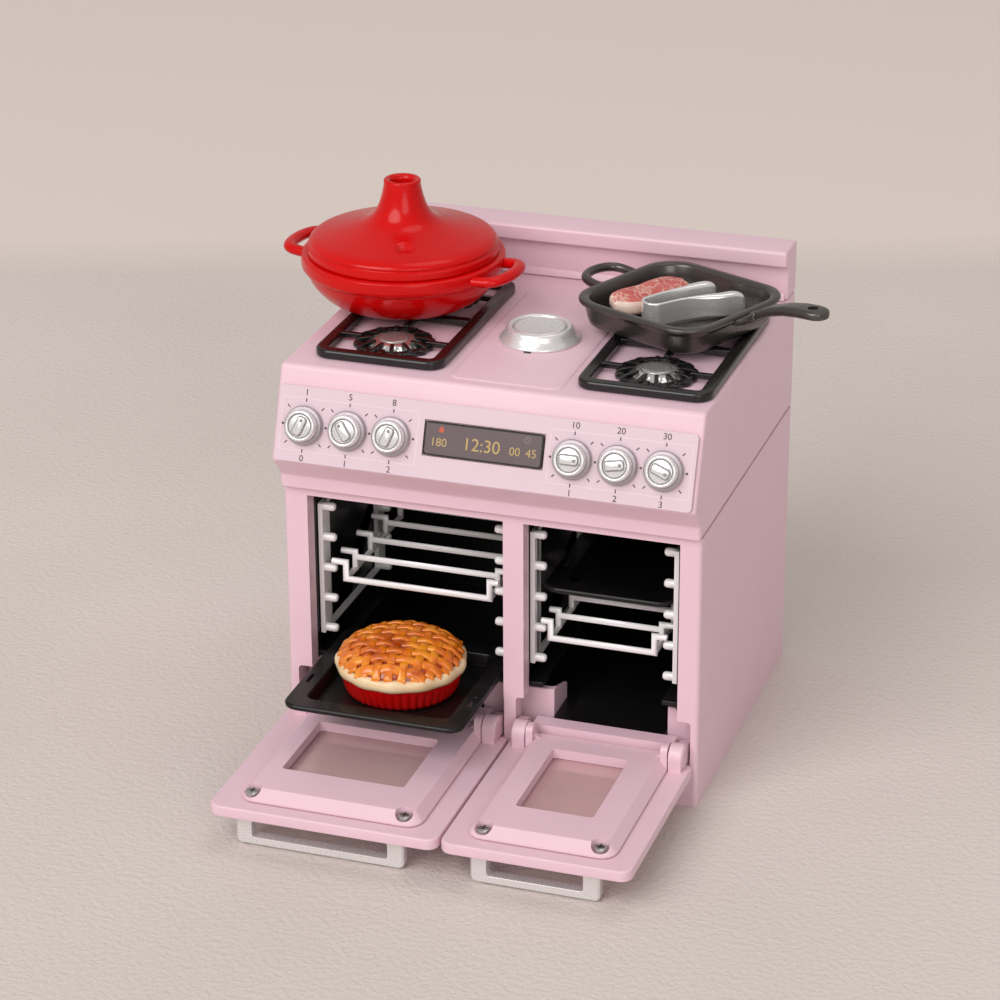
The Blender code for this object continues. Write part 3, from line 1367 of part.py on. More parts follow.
def make_grate(side, span, black):
    y0 = FRONT + GRATE_FRONT
    y1 = y0 + GRATE_LENGTH
    radii = [GRATE_CORNER] * 4
    box = (*span, y0, y1)
    rings = [
        inset_ring(box, radii, 0, GRATE_BOTTOM, 3),
        inset_ring(box, radii, 0, GRATE_TOP - GRATE_EDGE, 3),
        inset_ring(box, radii, GRATE_EDGE, GRATE_TOP, 3),
        inset_ring(box, radii, GRATE_BAR - GRATE_EDGE, GRATE_TOP, 3),
        inset_ring(box, radii, GRATE_BAR, GRATE_TOP - GRATE_EDGE, 3),
        inset_ring(box, radii, GRATE_BAR, GRATE_BOTTOM, 3),
    ]
    grate = to_object(f"{side}_grate", loft(rings, closed=True), black)
    inner = (span[0] + GRATE_BAR, span[1] - GRATE_BAR, y0 + GRATE_BAR, y1 - GRATE_BAR)
    middle = (y0 + y1) / 2
    half = GRATE_FINGER / 2
    low = GRATE_BOTTOM + FINGER_DROP
    reach = BURNER_BASE_RADIUS + FINGER_CLEARANCE
    top = GRATE_TOP - SINK / 4
    bars = [block(inner[0] - SINK, inner[1] + SINK, middle - half, middle + half, low, top)]
    for x, y in burner_places(span):
        bars.append(block(inner[0] - SINK, x - reach, y - half, y + half, low, top))
        bars.append(block(x + reach, inner[1] + SINK, y - half, y + half, low, top))
        near, far = (inner[2] - SINK, middle - half + SINK) if y < middle else (middle + half - SINK, inner[3] + SINK)
        bars.append(block(x - half, x + half, near, y - reach, low, top - SINK / 4))
        bars.append(block(x - half, x + half, y + reach, far, low, top - SINK / 4))
    add(grate, bars)


def make_burner(name, place, steel):
    base = HOB_TOP + GAP
    crown = base + BURNER_BASE_HEIGHT
    cap = crown + CROWN_HEIGHT
    top = cap + CAP_HEIGHT
    profile = [
        (0, base),
        (BURNER_BASE_RADIUS, base),
        (BURNER_BASE_RADIUS, crown),
        (CROWN_RADIUS, crown),
        (CROWN_RADIUS, cap),
        (CAP_RADIUS, cap),
        (CAP_RADIUS, top),
        (0, top),
    ]
    burner = smooth(to_object(name, turned(profile, 24), steel))
    burner.location = (*place, 0)


def stand_by_burner(obj, side, shift):
    """Moves a piece made about the Z axis to its place near the rear burner of a grate."""
    x, y = burner_places(grate_spans()[side])[1]
    obj.location = (x + shift[0], y + shift[1], 0)


def make_hob(silver, steel, black):
    make_hotplate(silver)
    for side, span in grate_spans().items():
        make_grate(side, span, black)
        for end, place in zip(("front", "rear"), burner_places(span)):
            make_burner(f"{side}_burner_{end}", place, steel)


def loop_handle(inner, reach, half_width, radius, height, turn, centre):
    """A half-oval handle from two points on a rim at distance inner, reaching out to reach."""
    path = [(inner, -half_width)]
    span = reach - inner - radius
    steps = 8
    for step in range(steps + 1):
        angle = -math.pi / 2 + math.pi * step / steps
        path.append((inner + span * max(math.cos(angle), 0) ** 0.7 + radius, half_width * math.sin(angle)))
    path.append((inner, half_width))
    placed = []
    for along, across in path:
        x = centre[0] + along * math.cos(turn) - across * math.sin(turn)
        y = centre[1] + along * math.sin(turn) + across * math.cos(turn)
        placed.append(Vector((x, y, height)))
    return tube(placed, radius, 8)


def make_pot(red):
    floor = COOKWARE_FLOOR
    rim = floor + POT_HEIGHT
    step = rim - POT_RIM_BAND
    outer = POT_RIM_RADIUS
    waist = outer - POT_STEP
    foot = POT_FOOT_RADIUS
    body = step - floor
    spread = waist - foot
    inner = outer - POT_RIM_WIDTH
    wall = POT_WALL
    profile = [(0, floor), (foot, floor)]
    profile += [(foot + out * spread, floor + up * body) for out, up in POT_SIDE_SHARES]
    profile.append((waist, step))
    profile += [(outer - back * POT_STEP, step + up * POT_RIM_BAND) for back, up in POT_BAND_SHARES]
    profile += [(inner, rim), (inner - POT_INSIDE_STEP_SHARE * POT_STEP, step)]
    profile += [(foot + out * spread - wall, floor + up * body + wall / 2) for out, up in POT_INSIDE_SHARES]
    profile += [(foot - wall, floor + wall), (0, floor + wall)]
    bowl = to_object("pot_bowl", turned(profile, POT_SIDES), red)
    height = rim - POT_HANDLE_DROP
    loops = []
    for turn in (POT_HANDLE_TURN, POT_HANDLE_TURN + math.pi):
        root = outer - POT_HANDLE_RADIUS
        loops.append(
            loop_handle(
                root, POT_HANDLE_REACH, POT_HANDLE_HALF_WIDTH, POT_HANDLE_RADIUS, height, turn, (0, 0)
            )
        )
    add(bowl, loops)
    stand_by_burner(smooth(bowl), "left", POT_SHIFT)
    make_lid(red, rim, inner)


def make_lid(red, rim, bowl_inner):
    """The lid: a low dome that sweeps up into an open-topped chimney."""
    seat = rim + GAP
    top = seat + LID_HEIGHT
    brim = LID_RADIUS
    shoulder = seat + LID_BAND
    lip = bowl_inner - 2 * GAP
    lip_in = lip - LID_LIP_WIDTH
    wall = LID_WALL
    bore = CHIMNEY_BORE
    stack = CHIMNEY_RADIUS
    rise = top - shoulder
    reach = brim - stack
    flare_out, flare_down = CHIMNEY_FLARE_SHARES
    profile = [
        (0, top - CHIMNEY_BORE_DEPTH),
        (bore, top - CHIMNEY_BORE_DEPTH),
        (bore + flare_out * wall, top - flare_down * rise),
        (stack - CHIMNEY_EDGE_SHARE * wall, top),
    ]
    profile += [(stack + out * reach, top - down * rise) for out, down in LID_OUTSIDE_SHARES]
    profile += [
        (brim, shoulder),
        (brim, seat),
        (lip, seat),
        (lip, seat - LID_LIP_DROP),
        (lip_in, seat - LID_LIP_DROP),
        (lip_in, shoulder),
    ]
    for out, down, walls in LID_INSIDE_SHARES:
        profile.append((stack + out * reach - wall, top - down * rise - walls * wall))
    flue = top - CHIMNEY_FLUE_SHARE * rise - wall
    profile += [(stack - wall, flue), (0, flue)]
    lid = smooth(to_object("pot_lid", turned(profile, POT_SIDES), red))
    stand_by_burner(lid, "left", POT_SHIFT)


def make_pan(iron):
    floor = COOKWARE_FLOOR
    rim = floor + PAN_HEIGHT
    half = PAN_HALF
    box = (-half, half, -half, half)
    radii = [PAN_CORNER] * 4
    under_rim = rim - PAN_RIM_HEIGHT
    wall = PAN_WALL
    edge = PAN_RIM_HEIGHT / 4
    rings = [
        inset_ring(box, radii, PAN_RIM + PAN_TAPER, floor, 5),
        inset_ring(box, radii, PAN_RIM + PAN_TAPER / 2, floor + PAN_TAPER / 3, 5),
        inset_ring(box, radii, PAN_RIM, under_rim, 5),
        inset_ring(box, radii, 0, under_rim + edge, 5),
        inset_ring(box, radii, 0, rim - edge, 5),
        inset_ring(box, radii, edge, rim, 5),
        inset_ring(box, radii, PAN_RIM + wall - edge, rim, 5),
        inset_ring(box, radii, PAN_RIM + wall, rim - edge, 5),
        inset_ring(box, radii, PAN_RIM + PAN_TAPER / 2 + wall, floor + PAN_FLOOR + PAN_TAPER / 4, 5),
        inset_ring(box, radii, PAN_RIM + PAN_TAPER + wall, floor + PAN_FLOOR, 5),
    ]
    pan = to_object("grill_pan", loft(rings), iron)
    add(pan, [pan_handle(rim), pan_loop(rim)])
    cut(pan, [pan_handle_hole(rim)])
    place_on_pan(smooth(pan))


def pan_handle(rim):
    """The long handle as cross-sections from the rim to its round end, rising as it goes."""
    start = PAN_HALF - PAN_RIM
    length = PAN_HANDLE_LENGTH
    thick = PAN_HANDLE_THICKNESS
    end_half = PAN_HANDLE_END / 2
    neck_half = PAN_HANDLE_NECK / 2
    rings = []
    for along_share, neck_share, end_share, rim_share, rise_share in PAN_HANDLE_SHARES:
        half = neck_share * neck_half + end_share * end_half + rim_share * PAN_RIM
        x = start + along_share * (length + PAN_RIM)
        z = rim - thick - PAN_RIM_HEIGHT / 8 + rise_share * PAN_HANDLE_RISE
        section = rounded_outline(-half, half, z, z + thick, [thick / 4] * 4, 2)
        rings.append([Vector((x, across, height)) for across, height in section])
    return loft(rings)


def pan_handle_hole(rim):
    x = PAN_HALF + PAN_HANDLE_HOLE_SHARE * PAN_HANDLE_LENGTH
    low = rim - OVERRUN
    high = rim + PAN_HANDLE_RISE + OVERRUN
    return cylinder(PAN_HANDLE_HOLE, low, high, UPWARD, Vector((x, 0, 0)), 14)


def pan_loop(rim):
    height = rim - PAN_LOOP_RADIUS - PAN_RIM_HEIGHT / 8
    inner = PAN_HALF - PAN_LOOP_RADIUS
    reach = PAN_HALF + PAN_LOOP_REACH
    return loop_handle(inner, reach, PAN_LOOP_HALF_WIDTH, PAN_LOOP_RADIUS, height, math.pi, (0, 0))


def place_on_pan(obj):
    """Moves something made about the pan's own centre to where the pan stands."""
    stand_by_burner(obj, "right", PAN_SHIFT)
    obj.rotation_euler = (0, 0, PAN_TURN)


def in_pan(shares):
    """A point in the pan, from the shares of half its floor."""
    return shares[0] * PAN_INSIDE, shares[1] * PAN_INSIDE


def make_steak(meat):
    """A slab of meat with a wandering edge, tipped up against the side of the pan."""
    centre = in_pan(STEAK_CENTRE_SHARES)
    half = in_pan(STEAK_HALF_SHARES)
    bottom = COOKWARE_FLOOR + PAN_FLOOR + GAP
    top = bottom + STEAK_THICKNESS

    def ring(inset, z):
        points = []
        for number in range(STEAK_POINTS):
            angle = 2 * math.pi * number / STEAK_POINTS
            wave = 1 + STEAK_WAVE_SHARE * (0.5 * math.sin(3 * angle + 1) - 0.5 * math.cos(2 * angle) - 1)
            squared = (math.cos(angle) ** 4 + math.sin(angle) ** 4) ** 0.25
            out = (half[0] * wave / squared ** 0.6 - inset) * math.cos(angle)
            along = (half[1] * wave / squared ** 0.6 - inset) * math.sin(angle)
            out += STEAK_LEAN_SHARE * along
            rise = STEAK_TILT_SHARE * (half[0] - out)
            points.append(Vector((centre[0] + out, centre[1] + along, z + rise)))
        return points

    rings = [
        ring(STEAK_EDGE, bottom),
        ring(0, bottom + STEAK_EDGE),
        ring(0, top - STEAK_EDGE),
        ring(STEAK_EDGE / 2, top - STEAK_EDGE / 3),
        ring(2 * STEAK_EDGE, top),
    ]
    place_on_pan(smooth(to_object("steak", loft(rings), meat)))


def make_tongs(silver):
    """Sprung tongs lying on edge: one strap bent into a bow, with two spread arms."""
    bottom = COOKWARE_FLOOR + PAN_FLOOR + GAP
    bow = arc(in_pan(TONGS_BOW_SHARES), TONGS_BOW_RADIUS_SHARE * PAN_INSIDE, math.pi, 2 * math.pi, 8)
    tips = [in_pan(shares) for shares in TONGS_TIP_SHARES]
    knees = [in_pan(shares) for shares in TONGS_KNEE_SHARES]
    middle_line = [tips[0], knees[0], *bow, knees[1], tips[1]]
    points = [Vector(point) for point in middle_line]
    last = len(points) - 1
    rings = []
    for index, point in enumerate(points):
        before = points[max(index - 1, 0)]
        after = points[min(index + 1, last)]
        way = (after - before).normalized()
        aside = Vector((-way.y, way.x))
        half = (TONGS_TIP_THICKNESS if index in (0, last) else TONGS_STRAP) / 2
        drop = TONGS_WIDTH / 8 if index in (0, last) else 0
        inner = point - aside * half
        outer = point + aside * half
        rings.append(
            [
                Vector((inner.x, inner.y, bottom)),
                Vector((outer.x, outer.y, bottom)),
                Vector((outer.x, outer.y, bottom + TONGS_WIDTH - drop)),
                Vector((inner.x, inner.y, bottom + TONGS_WIDTH - drop)),
            ]
        )
    place_on_pan(smooth(to_object("tongs", loft(rings), silver)))


def make_pie(red, crust):
    tray_floor = LEDGE_TOP + RIM_LIFT - BASIN_DROP + TRAY_FLOOR
    bottom = tray_floor + GAP
    rim = bottom + PIE_DISH_HEIGHT
    wall = PIE_DISH_WALL
    foot = DISH_FOOT_RADIUS
    edge = DISH_RIM_RADIUS
    lean = DISH_LEAN

    def flute(angle, radius, z):
        outside = radius > foot - wall / 2 + (z - bottom) / PIE_DISH_HEIGHT * lean
        return FLUTE_DEPTH * math.cos(FLUTES * angle) if outside else 0

    dish = [
        (0, bottom),
        (foot - wall, bottom),
        (foot, bottom + wall / 3),
        (edge, rim),
        (edge - wall, rim),
        (foot - wall, bottom + wall),
        (0, bottom + wall),
    ]
    dish_object = smooth(to_object("pie_dish", turned(dish, 4 * FLUTES, flute), red), 60)
    dish_object.location = (PIE_X, PIE_Y, 0)
    crust_bottom = rim + GAP
    plug = rim - PIE_PLUG
    crust_top = crust_bottom + CRUST_HEIGHT
    plug_radius = edge - wall - 2 * GAP - lean * PIE_PLUG / PIE_DISH_HEIGHT
    profile = [
        (0, plug),
        (plug_radius, plug),
        (plug_radius, crust_bottom),
        (CRUST_RADIUS - CRUST_HEIGHT / 3, crust_bottom),
        (CRUST_RADIUS, crust_bottom + CRUST_HEIGHT / 2),
        (CRUST_RADIUS - CRUST_HEIGHT / 3, crust_top),
    ]
    profile += [(out * CRUST_RADIUS, crust_top + up * PIE_DOME) for out, up in PIE_DOME_SHARES]
    pie = smooth(to_object("pie", turned(profile, PIE_SIDES), crust))
    pie.location = (PIE_X, PIE_Y, 0)


def main():
    clear_scene()
    pink = material("pink plastic", (0.80, 0.53, 0.60), 0.38)
    plate_pink = material("printed pink plate", (0.86, 0.62, 0.67), 0.35)
    black = material("black plastic", (0.012, 0.011, 0.010), 0.35)
    silver = material("silver plastic", (0.60, 0.60, 0.61), 0.32, 0.7)
    steel = material("bright steel", (0.66, 0.66, 0.67), 0.25, 1.0)
    clear = material("clear pane", (0.80, 0.70, 0.70), 0.08)
    glass = material("display window", (0.10, 0.085, 0.09), 0.15)
    red = material("red enamel", (0.62, 0.010, 0.012), 0.12)
    iron = material("cast iron", (0.09, 0.08, 0.075), 0.42, 0.4)
    meat = material("raw steak", (0.55, 0.09, 0.08), 0.40)
    crust = material("baked crust", (0.72, 0.30, 0.06), 0.35)

    make_cabinet(pink)
    make_base_and_back(pink, black)
    make_brackets(pink)
    make_housing(pink)
    make_backsplash(pink)
    make_control_plate(plate_pink)
    make_display(glass)
    make_knobs(silver)
    for each in OVENS:
        make_liner(each, black)
        for which in (0, 1):
            make_ladder(each, which, steel)
        make_rack(each, steel)
        make_door(each, pink, silver, steel, clear)
    make_trays(black)
    make_hob(silver, steel, black)
    make_pot(red)
    make_pan(iron)
    make_steak(meat)
    make_tongs(steel)
    make_pie(red, crust)


main()
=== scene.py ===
"""The toy cooker as photographed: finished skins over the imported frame, a pale floor and soft lamps.

Shapes are drawn in millimetres, with X to the right, Y back from the cooker's front face and Z up.
"""

import math

import bmesh
import bpy
from mathutils import Matrix, Vector


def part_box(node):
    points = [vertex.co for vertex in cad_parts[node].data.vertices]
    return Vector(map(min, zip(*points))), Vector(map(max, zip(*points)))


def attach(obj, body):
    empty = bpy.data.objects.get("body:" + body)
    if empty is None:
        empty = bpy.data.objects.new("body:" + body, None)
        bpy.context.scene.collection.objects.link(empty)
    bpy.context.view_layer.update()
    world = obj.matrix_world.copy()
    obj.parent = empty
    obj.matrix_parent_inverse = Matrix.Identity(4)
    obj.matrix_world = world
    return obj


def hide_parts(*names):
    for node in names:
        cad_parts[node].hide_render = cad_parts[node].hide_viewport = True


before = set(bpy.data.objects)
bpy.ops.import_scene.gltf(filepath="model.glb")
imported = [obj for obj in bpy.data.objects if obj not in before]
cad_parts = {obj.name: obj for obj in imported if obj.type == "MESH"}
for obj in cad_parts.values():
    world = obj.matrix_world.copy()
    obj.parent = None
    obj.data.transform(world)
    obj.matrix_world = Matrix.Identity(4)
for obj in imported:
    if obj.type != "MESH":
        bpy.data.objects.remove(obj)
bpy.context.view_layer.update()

MM = 0.001
FRONT = -0.0455
TO_WORLD = Matrix.Translation((0, FRONT, 0)) @ Matrix.Scale(MM, 4)
ROOT = "cooker"
SIDES = ("left", "right")
HALF_WIDTH = 55
DEPTH = 91
HOB = 107.3

# The control panel's own frame: X along the cooker, Y up the slope, Z outwards.
PANEL_FOOT = (0, -7.1, 84.3)
PANEL_LEAN = math.radians(19.6)
UP_SLOPE = Vector((0, math.sin(PANEL_LEAN), math.cos(PANEL_LEAN)))
OUTWARD = Vector((1, 0, 0)).cross(UP_SLOPE)
PANEL_TURN = Matrix(((1, 0, 0), UP_SLOPE, OUTWARD)).transposed().to_4x4()
PANEL = TO_WORLD @ Matrix.Translation(PANEL_FOOT) @ PANEL_TURN

# The camera, solved from the photo's straight edges, in metres.
CAMERA_AZIMUTH = math.radians(18.57)
CAMERA_ELEVATION = math.radians(23.98)
CAMERA_ROLL = math.radians(-0.289)
CAMERA_PLACE = (0.23784, -0.74458, 0.40614)
CAMERA_LENS = 117.193
CAMERA_SENSOR = 36


def centre_of(node):
    """The middle of a node's box in plan, in millimetres, read from the frame."""
    low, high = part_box(node)
    return ((low.x + high.x) / 2 / MM, ((low.y + high.y) / 2 - FRONT) / MM)


# Node materials.

NOISE_LOW, NOISE_HIGH = 0.3, 0.7
GRAIN_DEPTH = 0.00004
CRUMB_DEPTH = 0.0002


def start_material(name):
    made = bpy.data.materials.new(name)
    made.use_nodes = True
    nodes, links = made.node_tree.nodes, made.node_tree.links
    return made, nodes, links, nodes["Principled BSDF"]


def noise(nodes, links, scale, detail=3, rough=0.5, stretch=None):
    """A noise in the object's own space; stretch squeezes it along the axes."""
    source = nodes.new("ShaderNodeTexCoord").outputs["Object"]
    if stretch:
        mapping = nodes.new("ShaderNodeMapping")
        mapping.inputs["Scale"].default_value = stretch
        links.new(source, mapping.inputs["Vector"])
        source = mapping.outputs["Vector"]
    texture = nodes.new("ShaderNodeTexNoise")
    texture.inputs["Scale"].default_value = scale
    texture.inputs["Detail"].default_value = detail
    texture.inputs["Roughness"].default_value = rough
    links.new(source, texture.inputs["Vector"])
    return texture.outputs["Fac"]


def ranged(nodes, links, source, low, high, from_low=NOISE_LOW, from_high=NOISE_HIGH):
    node = nodes.new("ShaderNodeMapRange")
    node.inputs["From Min"].default_value = from_low
    node.inputs["From Max"].default_value = from_high
    node.inputs["To Min"].default_value = low
    node.inputs["To Max"].default_value = high
    links.new(source, node.inputs["Value"])
    return node.outputs["Result"]


def ramp(nodes, links, source, stops):
    node = nodes.new("ShaderNodeValToRGB")
    elements = node.color_ramp.elements
    while len(elements) < len(stops):
        elements.new(0.5)
    for element, (place, colour) in zip(elements, stops):
        element.position = place
        element.color = (*colour, 1)
    links.new(source, node.inputs["Fac"])
    return node.outputs["Color"]


def mixed(nodes, links, factor, first, second):
    """Blends a colour socket into one plain colour."""
    node = nodes.new("ShaderNodeMix")
    node.data_type = "RGBA"
    links.new(factor, node.inputs["Factor"])
    links.new(first, node.inputs["A"])
    node.inputs["B"].default_value = (*second, 1)
    return node.outputs["Result"]


def bump(nodes, links, shader, source, strength, distance):
    node = nodes.new("ShaderNodeBump")
    node.inputs["Strength"].default_value = strength
    node.inputs["Distance"].default_value = distance
    links.new(source, node.inputs["Height"])
    links.new(node.outputs["Normal"], shader.inputs["Normal"])
    return node


def moulded(name, colour, rough, metallic=0.0, coat=0.0, speck=0.04, cloud=70, grain=2600, relief=0.12,
            stretch=None, specular=0.5):
    """Moulded or coated plastic: faint clouding, uneven gloss and a fine grain."""
    made, nodes, links, shader = start_material(name)
    broad = noise(nodes, links, cloud, 4)
    fine = noise(nodes, links, grain, 2, stretch=stretch)
    darker = tuple(max(c * (1 - speck), 0) for c in colour)
    lighter = tuple(min(c * (1 + speck), 1) for c in colour)
    stops = ((NOISE_LOW, darker), (NOISE_HIGH, lighter))
    links.new(ramp(nodes, links, broad, stops), shader.inputs["Base Color"])
    glossier, duller = rough * 0.86, min(rough * 1.16, 1)
    links.new(ranged(nodes, links, fine, glossier, duller), shader.inputs["Roughness"])
    shader.inputs["Metallic"].default_value = metallic
    shader.inputs["Coat Weight"].default_value = coat
    shader.inputs["Coat Roughness"].default_value = 0.06
    shader.inputs["Specular IOR Level"].default_value = specular
    bump(nodes, links, shader, fine, relief, GRAIN_DEPTH)
    return made


def pane_material():
    """A clear pinkish sheet that lets the light through to what is under it."""
    made, nodes, links, shader = start_material("clear_pane")
    haze = noise(nodes, links, 60, 3)
    stops = ((0.3, (0.88, 0.57, 0.57)), (0.7, (0.92, 0.62, 0.62)))
    links.new(ramp(nodes, links, haze, stops), shader.inputs["Base Color"])
    links.new(ranged(nodes, links, haze, 0.05, 0.18), shader.inputs["Roughness"])
    shader.inputs["Alpha"].default_value = 0.40
    return made


def meat_material():
    """Red meat crossed by pale veins of fat, which follow the middle value of a noise."""
    made, nodes, links, shader = start_material("marbled_steak")
    warp = noise(nodes, links, 110, 3, 0.5)
    veins = noise(nodes, links, 250, 4, 0.6)
    stops = ((0.25, (0.40, 0.040, 0.035)), (0.55, (0.58, 0.10, 0.085)), (0.8, (0.68, 0.26, 0.21)))
    meat = ramp(nodes, links, warp, stops)
    shifted = nodes.new("ShaderNodeMath")
    shifted.operation = "SUBTRACT"
    shifted.inputs[1].default_value = 0.5
    links.new(veins, shifted.inputs[0])
    folded = nodes.new("ShaderNodeMath")
    folded.operation = "ABSOLUTE"
    links.new(shifted.outputs[0], folded.inputs[0])
    fat = ranged(nodes, links, folded.outputs[0], 0.75, 0, 0.004, 0.032)
    links.new(mixed(nodes, links, fat, meat, (0.80, 0.62, 0.50)), shader.inputs["Base Color"])
    shader.inputs["Roughness"].default_value = 0.36
    shader.inputs["Coat Weight"].default_value = 0.25
    bump(nodes, links, shader, veins, 0.2, CRUMB_DEPTH)
    return made


def pastry(name, stops, scale, rough, coat, relief):
    made, nodes, links, shader = start_material(name)
    blotch = noise(nodes, links, scale, 4, 0.6)
    links.new(ramp(nodes, links, blotch, stops), shader.inputs["Base Color"])
    shader.inputs["Roughness"].default_value = rough
    shader.inputs["Coat Weight"].default_value = coat
    shader.inputs["Coat Roughness"].default_value = 0.12
    bump(nodes, links, shader, noise(nodes, links, 900, 3), relief, CRUMB_DEPTH)
    return made


def floor_material():
    """A warm pale sheet with a pebbled grain, and a plain paler stretch far behind the cooker."""
    made, nodes, links, shader = start_material("pebbled_floor")
    stops = ((0.3, (0.655, 0.590, 0.550)), (0.7, (0.695, 0.630, 0.590)))
    near = ramp(nodes, links, noise(nodes, links, 9, 2), stops)
    along = nodes.new("ShaderNodeVectorMath")
    along.operation = "DOT_PRODUCT"
    along.inputs[1].default_value = (-math.sin(CAMERA_AZIMUTH), math.cos(CAMERA_AZIMUTH), 0)
    links.new(nodes.new("ShaderNodeNewGeometry").outputs["Position"], along.inputs[0])
    far = ranged(nodes, links, along.outputs["Value"], 0, 1, 0.335, 0.375)
    links.new(mixed(nodes, links, far, near, (0.780, 0.685, 0.630)), shader.inputs["Base Color"])
    shader.inputs["Roughness"].default_value = 0.62
    shader.inputs["Specular IOR Level"].default_value = 0.35
    pebble = noise(nodes, links, 620, 3, 0.55)
    relief = bump(nodes, links, shader, pebble, 0.7, 0.0006)
    links.new(ranged(nodes, links, far, 0.7, 0.0, 0, 1), relief.inputs["Strength"])
    return made


PINK = moulded("pink_plastic", (0.785, 0.545, 0.628), 0.42, coat=0.10, speck=0.015, relief=0.05)
PALE_PINK = moulded("pale_pink_plate", (0.705, 0.548, 0.610), 0.44, coat=0.06, speck=0.01, relief=0.04)
LINE_PINK = moulded("printed_pale_line", (0.86, 0.67, 0.73), 0.45, speck=0.01)
BLACK = moulded("black_satin", (0.0055, 0.0050, 0.0050), 0.36, coat=0.15, speck=0.2, relief=0.10,
                grain=1800, specular=0.28)
GLOSS_BLACK = moulded("black_gloss", (0.006, 0.0055, 0.0055), 0.26, coat=0.22, speck=0.2, relief=0.05,
                      specular=0.4)
WIRE = moulded("silver_wire", (0.92, 0.905, 0.91), 0.32, 0.12, coat=0.3, speck=0.015, relief=0.02)
SILVER = moulded("silver_coat", (0.80, 0.785, 0.785), 0.30, 0.5, coat=0.2, speck=0.02, relief=0.012)
KNOB_MATTE = moulded("knob_matte_silver", (0.42, 0.375, 0.395), 0.38, 0.5, speck=0.02, relief=0.02)
KNOB_BRIGHT = moulded("knob_bright_silver", (0.82, 0.805, 0.815), 0.26, 0.6, coat=0.3, speck=0.015,
                      relief=0.012)
KNOB_GROOVE = moulded("knob_groove", (0.27, 0.25, 0.26), 0.42, 0.3, speck=0.03)
CHROME = moulded("burner_crown", (0.74, 0.73, 0.72), 0.18, 0.85, coat=0.3, speck=0.03, relief=0.04)
CAP = moulded("burner_cap", (0.46, 0.45, 0.445), 0.26, 0.7, coat=0.3, speck=0.04, relief=0.04)
STEEL = moulded("screw_steel", (0.50, 0.49, 0.48), 0.28, 0.9, speck=0.05, relief=0.08)
# Painted shade: a near-black that stands in for the shade in small recesses, the screw heads' crosses and the
# hotplate's front notch.
RECESS_SHADE = moulded("painted_recess_shade", (0.02, 0.018, 0.018), 0.5)
ENAMEL = moulded("red_enamel", (0.600, 0.0010, 0.0014), 0.24, coat=0.14, speck=0.04, cloud=40, grain=500,
                 relief=0.03, specular=0.20)
DISH_RED = moulded("red_dish", (0.540, 0.003, 0.003), 0.26, coat=0.3, speck=0.05, relief=0.04, specular=0.4)
GUNMETAL = moulded("gunmetal", (0.092, 0.081, 0.076), 0.30, 0.7, coat=0.25, speck=0.08, cloud=120,
                   grain=1500, relief=0.14)
TONG_STEEL = moulded("brushed_steel", (0.88, 0.87, 0.865), 0.24, 0.7, coat=0.15, speck=0.03, grain=500,
                     relief=0.06, stretch=(1, 1, 9))
TICK = moulded("dark_print", (0.050, 0.032, 0.034), 0.5, speck=0.05)
DISPLAY = moulded("display_face", (0.122, 0.088, 0.094), 0.32, coat=0.15, speck=0.03, relief=0.02)
DISPLAY_EDGE = moulded("display_edge", (0.012, 0.010, 0.010), 0.25)
AMBER = moulded("amber_print", (0.50, 0.35, 0.13), 0.4, speck=0.02)
FLAME = moulded("flame_print", (0.55, 0.09, 0.05), 0.4, speck=0.02)
GREY_PRINT = moulded("grey_print", (0.30, 0.26, 0.26), 0.4, speck=0.02)
PANE = pane_material()
MEAT = meat_material()

# Baked and filled foods, as noise levels with their colours.
GLAZE = ((0.28, (0.42, 0.050, 0.002)), (0.5, (0.76, 0.185, 0.005)), (0.74, (0.92, 0.42, 0.025)))
JAM = ((0.3, (0.20, 0.016, 0.003)), (0.6, (0.40, 0.048, 0.004)), (0.8, (0.62, 0.15, 0.010)))
DOUGH = ((0.3, (0.76, 0.50, 0.26)), (0.6, (0.84, 0.64, 0.40)), (0.8, (0.87, 0.70, 0.47)))
FAT = ((0.3, (0.60, 0.26, 0.20)), (0.55, (0.80, 0.60, 0.50)), (0.8, (0.84, 0.70, 0.60)))
LATTICE = pastry("glazed_lattice", GLAZE, 190, 0.24, 0.4, 0.2)
FILLING = pastry("pie_filling", JAM, 300, 0.22, 0.4, 0.5)
CREAM = pastry("cream_crust", DOUGH, 120, 0.42, 0.2, 0.12)
RIND = pastry("steak_rind", FAT, 220, 0.4, 0.2, 0.15)


# Shapes, as bmeshes.

def corner_arc(centre, radius, start, end, steps):
    points = []
    for k in range(steps + 1):
        a = start + (end - start) / steps * k
        points.append((centre[0] + radius * math.cos(a), centre[1] + radius * math.sin(a)))
    return points


def rounded(x0, x1, y0, y1, radius, steps=6):
    """The outline of a rectangle with round corners."""
    points = []
    corners = ((x0, y0, 1, 1), (x1, y0, -1, 1), (x1, y1, -1, -1), (x0, y1, 1, -1))
    for index, (x, y, a, b) in enumerate(corners):
        start = math.pi + index * math.pi / 2
        points += corner_arc((x + a * radius, y + b * radius), radius, start, start + math.pi / 2, steps)
    return points


def level(outline, z):
    """An outline laid flat at height z."""
    return [Vector((x, y, z)) for x, y in outline]


def upright(x, outline):
    """An outline stood up across X, at x."""
    return [Vector((x, a, b)) for a, b in outline]


def ring(x0, x1, y0, y1, radius, inset, z):
    """A rounded rectangle drawn in by inset, at height z."""
    return level(rounded(x0 + inset, x1 - inset, y0 + inset, y1 - inset, max(radius - inset, 0.05)), z)


